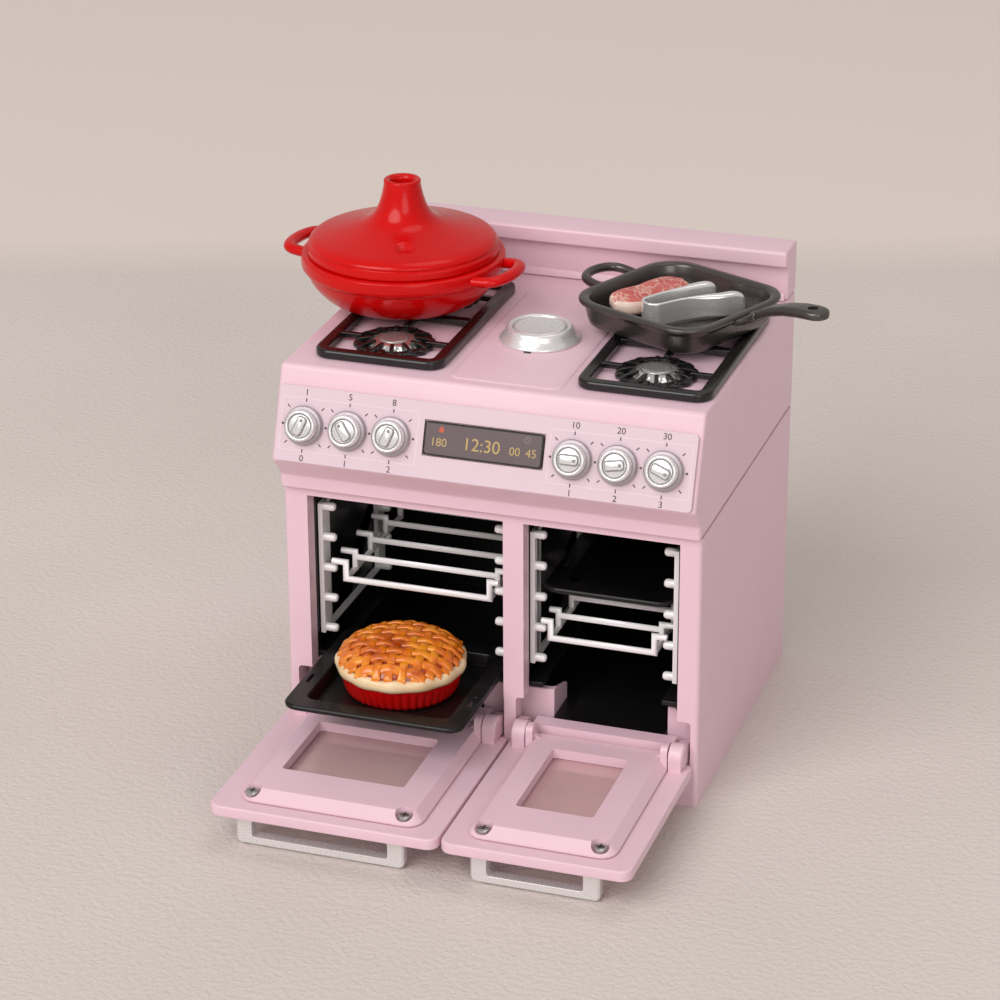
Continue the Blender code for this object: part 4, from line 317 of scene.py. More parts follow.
def loft(rings, closed=False):
    """A skin over rings of equal count. Unless closed into a tube, its ends are capped."""
    bm = bmesh.new()
    rows = [[bm.verts.new(point) for point in one] for one in rings]
    pairs = list(zip(rows, rows[1:])) + ([(rows[-1], rows[0])] if closed else [])
    for low, high in pairs:
        for k in range(len(low)):
            n = (k + 1) % len(low)
            bm.faces.new((low[k], low[n], high[n], high[k]))
    if not closed:
        bm.faces.new(rows[0][::-1])
        bm.faces.new(rows[-1])
    return bm


def prism(outline, low, high):
    return loft([level(outline, low), level(outline, high)])


def block(x0, x1, y0, y1, z0, z1):
    return prism([(x0, y0), (x1, y0), (x1, y1), (x0, y1)], z0, z1)


def turned(profile, sides=72, centre=(0, 0), wave=None):
    """Turns (radius, height) points about an upright axis; wave(angle, radius, height) may move them."""
    bm = bmesh.new()
    rows = []
    for radius, z in profile:
        if radius == 0:
            rows.append([bm.verts.new((centre[0], centre[1], z))])
            continue
        row = []
        for k in range(sides):
            a = 2 * math.pi * k / sides
            r, up = wave(a, radius, z) if wave else (radius, z)
            row.append(bm.verts.new((centre[0] + r * math.cos(a), centre[1] + r * math.sin(a), up)))
        rows.append(row)
    for low, high in zip(rows, rows[1:]):
        for k in range(sides):
            n = (k + 1) % sides
            if len(low) == 1:
                bm.faces.new((low[0], high[n], high[k]))
            elif len(high) == 1:
                bm.faces.new((low[k], low[n], high[0]))
            else:
                bm.faces.new((low[k], low[n], high[n], high[k]))
    return bm


def tube(path, radius, sides=14, flat=1.0):
    """A wire along an open path; flat below 1 squeezes it along Z."""
    rings = []
    for k, point in enumerate(path):
        before = path[max(k - 1, 0)]
        after = path[min(k + 1, len(path) - 1)]
        way = (after - before).normalized()
        side = way.cross(Vector((0, 0, 1))).normalized()
        up = side.cross(way)
        section = []
        for j in range(sides):
            a = 2 * math.pi * j / sides
            section.append(point + side * (radius * math.cos(a)) + up * (radius * flat * math.sin(a)))
        rings.append(section)
    return loft(rings)


def spline(points, steps):
    """Pairs on a smooth curve that passes through these points."""
    points = [Vector(p) for p in points]
    out = []
    for k in range(len(points) - 1):
        a = points[max(k - 1, 0)]
        b, c = points[k], points[k + 1]
        d = points[min(k + 2, len(points) - 1)]
        for s in range(steps):
            t = s / steps
            square = (2 * a - 5 * b + 4 * c - d) * t * t
            cube = (3 * b - a - 3 * c + d) * t ** 3
            out.append(tuple(0.5 * (2 * b + (c - a) * t + square + cube)))
    return out + [tuple(points[-1])]


def mesh_of(name, bm):
    mesh = bpy.data.meshes.new(name)
    bm.to_mesh(mesh)
    bm.free()
    return mesh


def linked(name, data):
    obj = bpy.data.objects.new(name, data)
    bpy.context.scene.collection.objects.link(obj)
    return obj


def joined(*meshes):
    whole = bmesh.new()
    for bm in meshes:
        mesh = mesh_of("part", bm)
        whole.from_mesh(mesh)
        bpy.data.meshes.remove(mesh)
    return whole


def offset(points, distance):
    """A closed anticlockwise outline moved inwards, with mitred corners."""
    moved = []
    for k in range(len(points)):
        here = Vector(points[k])
        before = (here - Vector(points[k - 1])).normalized()
        after = (Vector(points[(k + 1) % len(points)]) - here).normalized()
        n0, n1 = Vector((-before.y, before.x)), Vector((-after.y, after.x))
        mid = (n0 + n1).normalized()
        moved.append(tuple(here + mid * (distance / mid.dot(n0))))
    return moved


def fillet(points, radii, steps=5):
    """Rounds each corner of a closed outline."""
    out = []
    for k, radius in enumerate(radii):
        here = Vector(points[k])
        a = (Vector(points[k - 1]) - here).normalized()
        b = (Vector(points[(k + 1) % len(points)]) - here).normalized()
        half = math.acos(max(-1, min(1, a.dot(b)))) / 2
        reach = radius / math.tan(half)
        start, end = here + a * reach, here + b * reach
        centre = here + (a + b).normalized() * (radius / math.sin(half))
        for s in range(steps + 1):
            arm = (start - centre).lerp(end - centre, s / steps).normalized() * radius
            out.append(tuple(centre + arm))
    return out


def end_rounded(side_view, radii, convex, x0, x1, edge):
    """A side view pushed along X, with its corners filleted and its ends rounded by edge."""
    stops = []
    for k in range(5):
        a = math.pi / 2 * k / 4
        stops.append((edge * (1 - math.sin(a)), edge * (1 - math.cos(a))))
    places = [(x0 + along, inset) for inset, along in stops]
    places += [(x1 - along, inset) for inset, along in reversed(stops)]
    rings = []
    for x, inset in places:
        new = [max(r - inset, 0.06) if out else r + inset for r, out in zip(radii, convex)]
        rings.append(upright(x, fillet(offset(side_view, inset), new)))
    return loft(rings)


# Pieces that ride on the frame's bodies.

def shade(obj, bevel, segments, sharp):
    """Smooths a piece, with its edges bevelled, or kept crisp past the sharp angle."""
    obj.data.shade_smooth()
    if bevel:
        cut = obj.modifiers.new("rounding", "BEVEL")
        cut.width = bevel * MM
        cut.segments = segments
        cut.limit_method = "ANGLE"
        cut.angle_limit = math.radians(sharp)
        cut.use_clamp_overlap = True
        even = obj.modifiers.new("even", "WEIGHTED_NORMAL")
        even.keep_sharp = False
    else:
        obj.data.set_sharp_from_angle(angle=math.radians(sharp))


def piece(name, bm, material, body=ROOT, nodes=(), bevel=0, segments=2, sharp=32, matrix=TO_WORLD,
          slot=None, pick=None):
    """Makes a finished piece. material may be a list, from which pick(face) chooses."""
    bmesh.ops.recalc_face_normals(bm, faces=bm.faces)
    if pick:
        for face in bm.faces:
            face.material_index = pick(face)
    bm.transform(matrix)
    obj = linked(name, mesh_of(name, bm))
    for one in material if isinstance(material, list) else [material]:
        obj.data.materials.append(one)
    shade(obj, bevel, segments, sharp)
    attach(obj, body)
    if nodes:
        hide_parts(*nodes)
    return obj


WELD = 2e-6
FLAT_ENOUGH = math.radians(0.8)


def skin(node, material, body=ROOT, bevel=0.0, segments=2, sharp=32, slot=None):
    """A rounded copy of a CAD node, which takes the node's place."""
    bm = bmesh.new()
    bm.from_mesh(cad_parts[node].data)
    bmesh.ops.remove_doubles(bm, verts=bm.verts, dist=WELD)
    bmesh.ops.dissolve_limit(bm, angle_limit=FLAT_ENOUGH, verts=bm.verts, edges=bm.edges)
    still = Matrix.Identity(4)
    return piece(node + "_skin", bm, material, body, (node,), bevel, segments, sharp, still, slot)


def cut_out(obj, tool):
    """Cuts a bmesh, drawn in millimetres, out of a piece."""
    bmesh.ops.recalc_face_normals(tool, faces=tool.faces)
    tool.transform(TO_WORLD)
    helper = linked("cutter", mesh_of("cutter", tool))
    modifier = obj.modifiers.new("cut", "BOOLEAN")
    modifier.object = helper
    modifier.solver = "EXACT"
    modifier.operation = "DIFFERENCE"
    bpy.context.view_layer.update()
    graph = bpy.context.evaluated_depsgraph_get()
    result = bpy.data.meshes.new_from_object(obj.evaluated_get(graph))
    obj.modifiers.clear()
    obj.data = result
    bpy.data.objects.remove(helper)


def paint(node, material):
    """Gives a CAD node that stays in view a finished material."""
    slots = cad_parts[node].data.materials
    slots.clear()
    slots.append(material)


# Cabinet, housing and backsplash.

def make_cabinet():
    skin("cabinet_shell", PINK, bevel=0.35, segments=3, slot="pink_plastic")
    skin("back_panel", PINK, bevel=0.3, slot="pink_plastic")
    paint("base_plate", BLACK)
    for place in ("left", "centre", "right"):
        skin(f"hinge_bracket_{place}", PINK, bevel=0.2, slot="pink_plastic")
    for side in SIDES:
        for end in SIDES:
            skin(f"{side}_door_pin_{end}", STEEL, slot="screw_steel")


# Side views as (Y, Z) points, with each corner's radius and whether it stands out.
HOUSING = [(DEPTH, 74.8), (DEPTH, HOB), (1.1, HOB), (-7.1, 84.3), (-1.9, 78.5), (-1.9, 74.8)]
HOUSING_RADII = [0.3, 0.7, 1.5, 1.0, 1.6, 0.45]
HOUSING_OUT = [True, True, True, True, False, True]
HOUSING_WALL = 2.0
HOUSING_END = 0.9
BELOW_HOUSING = 70
SPLASH = [(82.3, 107.6), (DEPTH, 107.6), (DEPTH, 121.4), (79.5, 121.4), (79.5, 117.4), (82.3, 116.6)]
SPLASH_RADII = [0.2, 0.4, 0.8, 0.8, 0.6, 0.5]
SPLASH_OUT = [True, True, True, True, True, False]
SPLASH_END = 0.7
SPLASH_FOOT = [(80.9, 107.5), (82.6, 107.5), (82.6, 109.3), (81.7, 109.3)]
SPLASH_FOOT_RADII = [0.1, 0.1, 0.1, 0.4]
SPLASH_FOOT_HALF = 54.2
SPLASH_FOOT_END = 0.3
HOB_FIELD = (-12.0, 17.2, 4.4, 72.0)
HOB_FIELD_CORNER = 3.0
HOB_FIELD_EDGE = ((0, -0.2), (0, 0.05), (0.2, 0.2), (0.6, 0.28))


def make_housing():
    """The hollow top with its sloping front, open below."""
    solid = end_rounded(HOUSING, HOUSING_RADII, HOUSING_OUT, -HALF_WIDTH, HALF_WIDTH, HOUSING_END)
    housing = piece("top_housing_skin", solid, PINK, nodes=("top_housing",), slot="pink_plastic")
    hollow = offset(HOUSING, HOUSING_WALL)
    hollow[0] = (hollow[0][0], BELOW_HOUSING)
    hollow[-1] = (hollow[-1][0], BELOW_HOUSING)
    inside = HALF_WIDTH - HOUSING_WALL
    cut_out(housing, loft([upright(-inside, hollow), upright(inside, hollow)]))
    shade(housing, 0, 0, 32)


def make_hob_field():
    """A shallow raised field between the grates, with a soft edge."""
    rings = [ring(*HOB_FIELD, HOB_FIELD_CORNER, inset, HOB + up) for inset, up in HOB_FIELD_EDGE]
    piece("hob_field", loft(rings), PINK)


def make_backsplash():
    solid = end_rounded(SPLASH, SPLASH_RADII, SPLASH_OUT, -HALF_WIDTH, HALF_WIDTH, SPLASH_END)
    piece("backsplash_skin", solid, PINK, nodes=("backsplash",), slot="pink_plastic")
    half = SPLASH_FOOT_HALF
    foot = end_rounded(SPLASH_FOOT, SPLASH_FOOT_RADII, [True] * 4, -half, half, SPLASH_FOOT_END)
    piece("backsplash_foot", foot, PINK)


# Control panel, drawn in its own frame: X along the cooker, Y up the slope, Z out of the plate.

FACE = 1.0
PRINT_SUNK = 0.02
KNOB_PLACES = (-46.75, -35.20, -23.65, 23.20, 34.75, 46.30)
KNOB_UP = 9.6
KNOB_TURNS = (22, -35, 20, 90, 80, 112)
TOP_NUMBERS = ("1", "5", "8", "10", "20", "30")
LOW_NUMBERS = ("0", "1", "2", "1", "2", "3")
NUMBER_SIZE = 2.25
NUMBER_OFF = 8.30
FRAME_LINES = ((-53.0, -17.0), (17.2, 53.0))
FRAME_LOW, FRAME_HIGH = 3.2, 16.4
FRAME_LINE = 0.14
TICK_COUNT = 8
LEVEL_TICK = (5.45, 6.0, 0.50)
SLANT_TICK = (5.95, 6.85, 0.27)
INNER_KNOBS = (1, 2, 4, 5)


def flat(name, outlines, material, low=FACE - PRINT_SUNK, high=FACE + 0.05):
    """Thin print on the plate: several outlines in the plate's own plane."""
    return piece(name, joined(*[prism(outline, low, high) for outline in outlines]), material, matrix=PANEL)


def bar(ax, ay, bx, by, width):
    """A straight stroke between two points."""
    way = (Vector((bx, by)) - Vector((ax, ay))).normalized()
    n = Vector((-way.y, way.x)) * (width / 2)
    return [(ax - n.x, ay - n.y), (bx - n.x, by - n.y), (bx + n.x, by + n.y), (ax + n.x, ay + n.y)]


def frame_lines(x0, x1, y0, y1, width):
    corners = [(x0, y0, x1, y0), (x0, y1, x1, y1), (x0, y0, x0, y1), (x1, y0, x1, y1)]
    return [bar(*ends, width) for ends in corners]


def tick_marks():
    """Marks round each knob. Between two knobs one level mark serves both."""
    ticks = []
    for index, x in enumerate(KNOB_PLACES):
        for step in range(TICK_COUNT):
            if step == TICK_COUNT / 2 and index in INNER_KNOBS:
                continue
            inner, outer, width = SLANT_TICK if step % 4 else LEVEL_TICK
            a = 2 * math.pi * step / TICK_COUNT
            out, up = math.cos(a), math.sin(a)
            start = (x + inner * out, KNOB_UP + inner * up)
            end = (x + outer * out, KNOB_UP + outer * up)
            ticks.append(bar(*start, *end, width))
    return ticks


def lettering(name, entries, material, height):
    """Plain numbers, each given as text, middle and size, lying in the plate's own plane."""
    made = []
    for text, x, y, size in entries:
        curve = bpy.data.curves.new("number", "FONT")
        curve.body = text
        curve.size = size
        curve.align_x = "CENTER"
        curve.align_y = "CENTER"
        curve.extrude = 0.025
        holder = linked("number", curve)
        bpy.context.view_layer.update()
        graph = bpy.context.evaluated_depsgraph_get()
        mesh = bpy.data.meshes.new_from_object(holder.evaluated_get(graph))
        bm = bmesh.new()
        bm.from_mesh(mesh)
        bm.transform(Matrix.Translation((x, y, height)))
        made.append(bm)
        bpy.data.objects.remove(holder)
        bpy.data.curves.remove(curve)
        bpy.data.meshes.remove(mesh)
    return piece(name, joined(*made), material, matrix=PANEL, sharp=20)


def make_plate():
    skin("control_plate", PALE_PINK, bevel=0.22, segments=3, slot="plate_pink")
    lines = []
    for x0, x1 in FRAME_LINES:
        lines += frame_lines(x0, x1, FRAME_LOW, FRAME_HIGH, FRAME_LINE)
    flat("plate_outlines", lines, LINE_PINK, high=FACE + 0.02)
    flat("dial_ticks", tick_marks(), TICK)
    numbers = []
    for x, top, low in zip(KNOB_PLACES, TOP_NUMBERS, LOW_NUMBERS):
        numbers.append((top, x, KNOB_UP + NUMBER_OFF, NUMBER_SIZE))
        numbers.append((low, x, KNOB_UP - NUMBER_OFF, NUMBER_SIZE))
    lettering("dial_numbers", numbers, TICK, FACE + 0.02)


# The display: a black surround, a brown-grey face, plain digits, a flame mark and a clock ring.
DISPLAY_LEFT, DISPLAY_RIGHT = -15.05, 15.65
DISPLAY_LOW, DISPLAY_HIGH = 6.25, 14.65
DISPLAY_EDGE_STEPS = ((0, 0.3), (0, 1.3), (0.12, 1.4), (0.45, 1.4))
DISPLAY_RIM = 0.42
DISPLAY_FACE = 1.43
SMALL_DIGIT, CLOCK_DIGIT = 2.9, 4.4
MARK_UP = 12.9
FLAME_ALONG, CLOCK_ALONG = 4.4, 26.6
FLAME_OUTLINE = ((-0.55, -0.7), (0.55, -0.7), (0.75, -0.1), (0.35, 0.35), (0.05, 1.0), (-0.35, 0.3),
                 (-0.75, -0.1))
CLOCK_RADIUS = 0.8
CLOCK_STROKE = 0.12
CLOCK_STEPS = 18
CLOCK_HANDS = ((0, 0.55), (0.4, 0))


def screen(inset, radius):
    """The display's outline, drawn in by inset."""
    along = (DISPLAY_LEFT + inset, DISPLAY_RIGHT - inset)
    return rounded(*along, DISPLAY_LOW + inset, DISPLAY_HIGH - inset, radius)


def make_display():
    surround = loft([level(screen(inset, 0.8), out) for inset, out in DISPLAY_EDGE_STEPS])
    piece("display_surround", surround, DISPLAY_EDGE, nodes=("display_window",), matrix=PANEL, slot="display")
    flat("display_face", [screen(DISPLAY_RIM, 0.6)], DISPLAY, 1.3, DISPLAY_FACE)
    digits = (("180", 3.9, 9.6, SMALL_DIGIT), ("12:30", 15.0, 9.9, CLOCK_DIGIT),
              ("00", 23.6, 9.6, SMALL_DIGIT), ("45", 27.8, 9.6, SMALL_DIGIT))
    placed = [(text, DISPLAY_LEFT + along, up, size) for text, along, up, size in digits]
    lettering("display_digits", placed, AMBER, DISPLAY_FACE + 0.005)
    x = DISPLAY_LEFT + FLAME_ALONG
    flame = [(x + a, MARK_UP + b) for a, b in FLAME_OUTLINE]
    low, high = DISPLAY_FACE - 0.03, DISPLAY_FACE + 0.03
    flat("display_flame", [flame], FLAME, low, high)
    x = DISPLAY_LEFT + CLOCK_ALONG
    rim = corner_arc((x, MARK_UP), CLOCK_RADIUS, 0, 2 * math.pi, CLOCK_STEPS)
    clock = [bar(*start, *end, CLOCK_STROKE) for start, end in zip(rim, rim[1:])]
    clock += [bar(x, MARK_UP, x + a, MARK_UP + b, CLOCK_STROKE) for a, b in CLOCK_HANDS]
    flat("display_clock", clock, GREY_PRINT, low, high)


# A knob as (radius, height) points: its skirt, its grip, and the bead and groove round its cap.
KNOB_SKIRT = [(0, 0.4), (1.6, 0.4), (1.6, 1.3), (4.7, 1.3), (4.97, 1.42), (5.0, 1.75), (4.92, 2.1),
              (4.7, 2.34)]
KNOB_GRIP = [(4.05, 2.42), (3.97, 2.55), (3.95, 4.15), (3.86, 4.5), (3.66, 4.68), (3.42, 4.7)]
KNOB_CAP = [(3.22, 4.64), (3.12, 4.5), (3.05, 4.32), (2.92, 4.30), (2.84, 4.42), (2.66, 4.48), (0, 4.48)]
GRIP_FROM = 2.5
GROOVE_FROM, GROOVE_TO, GROOVE_TOP = 2.8, 3.1, 4.42
POINTER_EDGE = ((0, 4.45), (0, 4.95), (0.10, 5.12), (0.28, 5.2))


def knob_finish(face):
    """Matt on the skirt, dark in the groove and bright elsewhere."""
    centre = face.calc_center_median()
    if centre.z < GRIP_FROM:
        return 0
    in_groove = GROOVE_FROM < math.hypot(centre.x, centre.y) < GROOVE_TO and centre.z < GROOVE_TOP
    return 2 if in_groove else 1


def make_knobs():
    for index, (x, turn) in enumerate(zip(KNOB_PLACES, KNOB_TURNS), 1):
        place = PANEL @ Matrix.Translation((x, KNOB_UP, 0)) @ Matrix.Rotation(-math.radians(turn), 4, "Z")
        name, body = f"knob_{index}", f"knob_{index}_body"
        knob = turned(KNOB_SKIRT + KNOB_GRIP + KNOB_CAP, 64)
        finishes = [KNOB_MATTE, KNOB_BRIGHT, KNOB_GROOVE]
        piece(f"{name}_turned", knob, finishes, body, (name,), sharp=40, matrix=place,
              slot="silver_plastic", pick=knob_finish)
        seat = prism(rounded(-1.42, 1.42, -2.62, 2.62, 0.9), 4.40, 4.52)
        piece(f"{name}_seat", seat, KNOB_GROOVE, body, matrix=place)
        rings = []
        for inset, out in POINTER_EDGE:
            outline = rounded(inset - 1.04, 1.04 - inset, inset - 2.3, 2.3 - inset, 0.6, 4)
            rings.append(level(outline, out))
        piece(f"{name}_pointer", loft(rings), KNOB_BRIGHT, body, matrix=place)
        mark = prism(rounded(-0.42, 0.42, 1.1, 2.0, 0.2, 3), 5.15, 5.23)
        piece(f"{name}_mark", mark, KNOB_GROOVE, body, matrix=place)


# Ovens and doors.

def make_ovens():
    for side in SIDES:
        skin(f"{side}_oven_liner", BLACK, bevel=0.25, slot="black_plastic")
        for end in SIDES:
            skin(f"{side}_oven_ladder_{end}", WIRE, sharp=50, slot="silver_plastic")
        skin(f"{side}_rack", WIRE, f"{side}_rack_body", sharp=55, slot="silver_plastic")
        skin(f"{side}_tray", BLACK, f"{side}_tray_body", bevel=0.3, segments=3, sharp=28,
             slot="black_plastic")


# A pan-head screw as (radius, depth below its top) points, and the cross in its head, whose recess is painted
# as shade.
SCREW = [(0, 3.0), (0.75, 2.8), (0.8, 0.9), (1.72, 0.9), (1.72, 0.45), (1.6, 0.18), (1.25, 0.03), (0.9, 0),
         (0, 0)]
CROSS_LONG, CROSS_WIDE = 1.05, 0.2
CROSS_SUNK, CROSS_PROUD = 0.06, 0.03


def make_screw(node, door):
    x, y = centre_of(node)
    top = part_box(node)[1].z / MM
    head = turned([(radius, top - down) for radius, down in SCREW], 40, (x, y))
    piece(f"{node}_head", head, STEEL, door, (node,), sharp=40, slot="screw_steel")
    arms = []
    for a, b in ((CROSS_LONG, CROSS_WIDE), (CROSS_WIDE, CROSS_LONG)):
        arms.append(block(x - a, x + a, y - b, y + b, top - CROSS_SUNK, top + CROSS_PROUD))
    # The cross is a thin near-black block: painted shade standing in for the recess in the head.
    piece(f"{node}_cross", joined(*arms), RECESS_SHADE, door)


def make_doors():
    for side in SIDES:
        door = f"{side}_door"
        skin(f"{door}_slab", PINK, door, bevel=0.22, sharp=38, slot="pink_plastic")
        skin(f"{side}_inner_frame", PINK, door, bevel=0.35, segments=3, sharp=24, slot="pink_plastic")
        skin(f"{door}_handle", SILVER, door, bevel=0.35, segments=3, slot="silver_plastic")
        paint(f"{door}_pane", PANE)
        for end in SIDES:
            make_screw(f"{door}_screw_{end}", door)


# Hob: a hotplate between two grates, each over two burners. Profiles are (radius, height) points.

HOTPLATE_FOOT = [(0, 107.6), (10.2, 107.6), (10.35, 107.75), (10.35, 108.1), (10.1, 108.4), (9.4, 109.0)]
HOTPLATE_RIM = [(8.9, 109.9), (8.6, 110.7), (8.3, 111.2), (7.9, 111.4), (7.5, 111.38), (7.15, 111.15)]
HOTPLATE_WELL = [(6.95, 110.7), (6.85, 109.8), (0, 109.8)]
HOTPLATE_DISC = [(0, 109.9), (6.55, 109.9), (6.55, 110.75), (6.4, 111.0), (6.1, 111.12), (5.7, 111.05),
                 (5.4, 110.98), (0, 110.95)]


def make_hotplate():
    x, y = centre_of("hotplate_ring")
    look = {"sharp": 50, "slot": "silver_plastic"}
    body = turned(HOTPLATE_FOOT + HOTPLATE_RIM + HOTPLATE_WELL, 80, (x, y))
    piece("hotplate_ring_turned", body, SILVER, nodes=("hotplate_ring",), **look)
    disc = turned(HOTPLATE_DISC, 80, (x, y))
    piece("hotplate_disc_turned", disc, SILVER, nodes=("hotplate_disc",), **look)
    # Painted shade: a small near-black block at the ring's front foot stands in for the shade in a notch
    # there.
    piece("hotplate_notch_shade", block(x - 0.9, x + 0.9, y - 10.75, y - 10.2, 107.45, 107.9), RECESS_SHADE)


GRATE_LOW, GRATE_HIGH = 107.6, 109.7
GRATE_WIDE = 3.2
GRATE_CORNER = 4.4
GRATE_LAP = 0.3
GRATE_SECTION = [(0, GRATE_LOW), (0, GRATE_HIGH - 0.75), (0.12, GRATE_HIGH - 0.32), (0.42, GRATE_HIGH - 0.06),
                 (0.85, GRATE_HIGH), (GRATE_WIDE - 0.6, GRATE_HIGH), (GRATE_WIDE - 0.2, GRATE_HIGH - 0.1),
                 (GRATE_WIDE, GRATE_HIGH - 0.45), (GRATE_WIDE, GRATE_LOW)]
MIDDLE_BAR_HALF = 1.3
ARM_WIDE = 1.5
ARM_REACH = 8.6
DRIP_RING = [(0, 107.55), (10.0, 107.55), (10.15, 107.9), (10.1, 108.5), (9.6, 108.9), (8.3, 108.9),
             (7.9, 108.5), (7.5, 108.1), (0, 108.0)]
CROWN = [(0, 107.9), (6.9, 107.9), (6.8, 108.4), (6.2, 108.9), (5.5, 109.25), (4.7, 109.45), (4.2, 109.5),
         (0, 109.5)]
BURNER_CAP = [(0, 109.4), (3.6, 109.4), (3.75, 109.52), (3.65, 109.7), (3.2, 109.82), (1.8, 109.86),
              (0, 109.87)]
PRONG = ((9.9, 108.3), (9.9, 109.0), (8.6, 109.55), (6.2, 109.9), (5.1, 109.9), (5.3, 109.45), (6.6, 108.95),
         (7.8, 108.3))
PRONG_COUNT = 12
PRONG_HALF = 0.55
NOTCH_COUNT = 16
NOTCH_DEEP = 0.30


def scallop(a, r, z):
    """A gentle wave round the drip ring's outer edge."""
    return (r + (NOTCH_DEEP * math.cos(NOTCH_COUNT * a) if r > 9.8 else 0), z)


def flame_slots(a, r, z):
    """Slots round the burner's crown."""
    return (r - (NOTCH_DEEP if r > 5.2 and math.cos(NOTCH_COUNT * a) > 0.2 else 0), z)


def grate_arms(x0, x1, near, far, x, y):
    """Four arms from a grate's frame towards a burner at x, y."""
    ends = ((x0, y, x - ARM_REACH, y), (x + ARM_REACH, y, x1, y),
            (x, near, x, y - ARM_REACH), (x, y + ARM_REACH, x, far))
    return [prism(bar(*arm, ARM_WIDE), 108.3, GRATE_HIGH - 0.02) for arm in ends]


def make_grate(side):
    low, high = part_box(f"{side}_grate")
    x0, x1 = low.x / MM, high.x / MM
    y0, y1 = (low.y - FRONT) / MM, (high.y - FRONT) / MM
    inner = GRATE_WIDE - GRATE_LAP
    middle = (y0 + y1) / 2
    rim = [ring(x0, x1, y0, y1, GRATE_CORNER, inset, z) for inset, z in GRATE_SECTION]
    half = MIDDLE_BAR_HALF
    bars = [block(x0 + inner, x1 - inner, middle - half, middle + half, 108.2, GRATE_HIGH - 0.04)]
    for end, near, far in (("front", y0 + inner, middle - 1.2), ("rear", middle + 1.2, y1 - inner)):
        bars += grate_arms(x0 + inner, x1 - inner, near, far, *centre_of(f"{side}_burner_{end}"))
    piece(f"{side}_grate_cast", joined(loft(rim, closed=True), *bars), GLOSS_BLACK, nodes=(f"{side}_grate",),
          bevel=0.22, slot="black_plastic")


def make_burner(side, end):
    node = f"{side}_burner_{end}"
    x, y = centre_of(node)
    piece(f"{side}_drip_{end}", turned(DRIP_RING, 128, (x, y), scallop), GLOSS_BLACK, sharp=40)
    crown = turned(CROWN, 128, (x, y), flame_slots)
    piece(f"{side}_crown_{end}", crown, CHROME, nodes=(node,), sharp=35, slot="silver_plastic")
    piece(f"{side}_cap_{end}", turned(BURNER_CAP, 48, (x, y)), CAP, sharp=60)
    prongs = []
    for k in range(PRONG_COUNT):
        a = 2 * math.pi * (k + 0.5) / PRONG_COUNT
        faces = []
        for t in (-PRONG_HALF, PRONG_HALF):
            middle = Vector((x - t * math.sin(a), y + t * math.cos(a), 0))
            faces.append([middle + Vector((r * math.cos(a), r * math.sin(a), z)) for r, z in PRONG])
        prongs.append(loft(faces))
    piece(f"{side}_prongs_{end}", joined(*prongs), GLOSS_BLACK, bevel=0.15)


# Pot and lid, as (radius, height) points.

BOWL_FOOT = (15.2, 110.0)
BOWL_SIDE = [BOWL_FOOT, (17.2, 110.35), (20.6, 112.3), (23.6, 115.5), (25.0, 118.2), (25.35, 119.3)]
BOWL_BAND = [(26.0, 119.55), (26.35, 120.0), (26.5, 120.8), (26.5, 122.5), (26.3, 123.1), (25.8, 123.42)]
BOWL_LIP = [(24.1, 123.46), (23.85, 123.0), (23.6, 119.5)]
BOWL_INSIDE = [(22.4, 116.5), (19.2, 113.2), (15.8, 111.5)]
POT_TURN = math.radians(-9)
# Loop handles as root, reach, half width, wire radius and height.
POT_HANDLE = (25.6, 33.4, 8.0, 1.75, 121.3)
HELPER_HANDLE = (20.3, 29.9, 6.8, 1.2, 116.6)
LID_INSIDE = [(0, 129.0), (8.0, 128.6), (17.0, 127.0), (21.6, 125.4), (21.6, 121.9)]
LID_EDGE = [(22.9, 121.9), (22.9, 123.5), (24.5, 123.5), (24.85, 123.7), (24.95, 124.4), (24.85, 125.3),
            (24.4, 125.65)]
LID_SHOULDER = [(24.2, 125.9), (24.3, 126.5), (23.7, 127.25), (22.3, 128.0), (18.6, 129.0), (13.8, 130.3)]
LID_NECK = [(10.2, 131.5), (8.0, 133.0), (6.5, 135.2), (5.55, 137.8), (4.95, 140.3), (4.75, 141.6)]
LID_MOUTH = [(4.8, 142.1), (4.75, 142.4), (4.5, 142.65), (4.0, 142.7), (3.5, 142.55), (3.1, 142.1),
             (2.9, 141.4), (2.8, 138.6), (0, 138.6)]
VENT_OUT = 16.4
VENT_TURN = math.radians(-68.5)
VENT_RADIUS, VENT_DEEP = 2.2, 0.80
VENT_LIP_RADIUS, VENT_LIP_WIDE, VENT_LIP = 2.5, 0.4, 0.06


def loop(inner, reach, half, radius, height, turn, centre, flatness=1.0, rise=0.0):
    """A rounded loop handle that starts and ends inside the rim."""
    root = inner - 1.2
    path = [Vector((root, -half * 1.02, height))]
    for k in range(25):
        a = -math.pi / 2 + math.pi * k / 24
        along = max(math.cos(a), 0) ** 0.5
        x = inner + (reach - radius - inner) * along
        path.append(Vector((x, half * math.sin(a), height + rise * along)))
    path.append(Vector((root, half * 1.02, height)))
    spin = Matrix.Translation((*centre, 0)) @ Matrix.Rotation(turn, 4, "Z")
    return tube([spin @ p for p in path], radius, flat=flatness)


def make_pot():
    centre = centre_of("pot_bowl")
    profile = [(0, BOWL_FOOT[1])] + spline(BOWL_SIDE, 5) + BOWL_BAND + BOWL_LIP
    profile += spline(BOWL_INSIDE, 3) + [(0, BOWL_INSIDE[-1][1])]
    turns = (POT_TURN, POT_TURN + math.pi)
    handles = [loop(*POT_HANDLE, turn, centre, flatness=0.78, rise=0.5) for turn in turns]
    piece("pot_bowl_turned", joined(turned(profile, 96, centre), *handles), ENAMEL, "pot", ("pot_bowl",),
          bevel=0.25, sharp=38, slot="red_enamel")


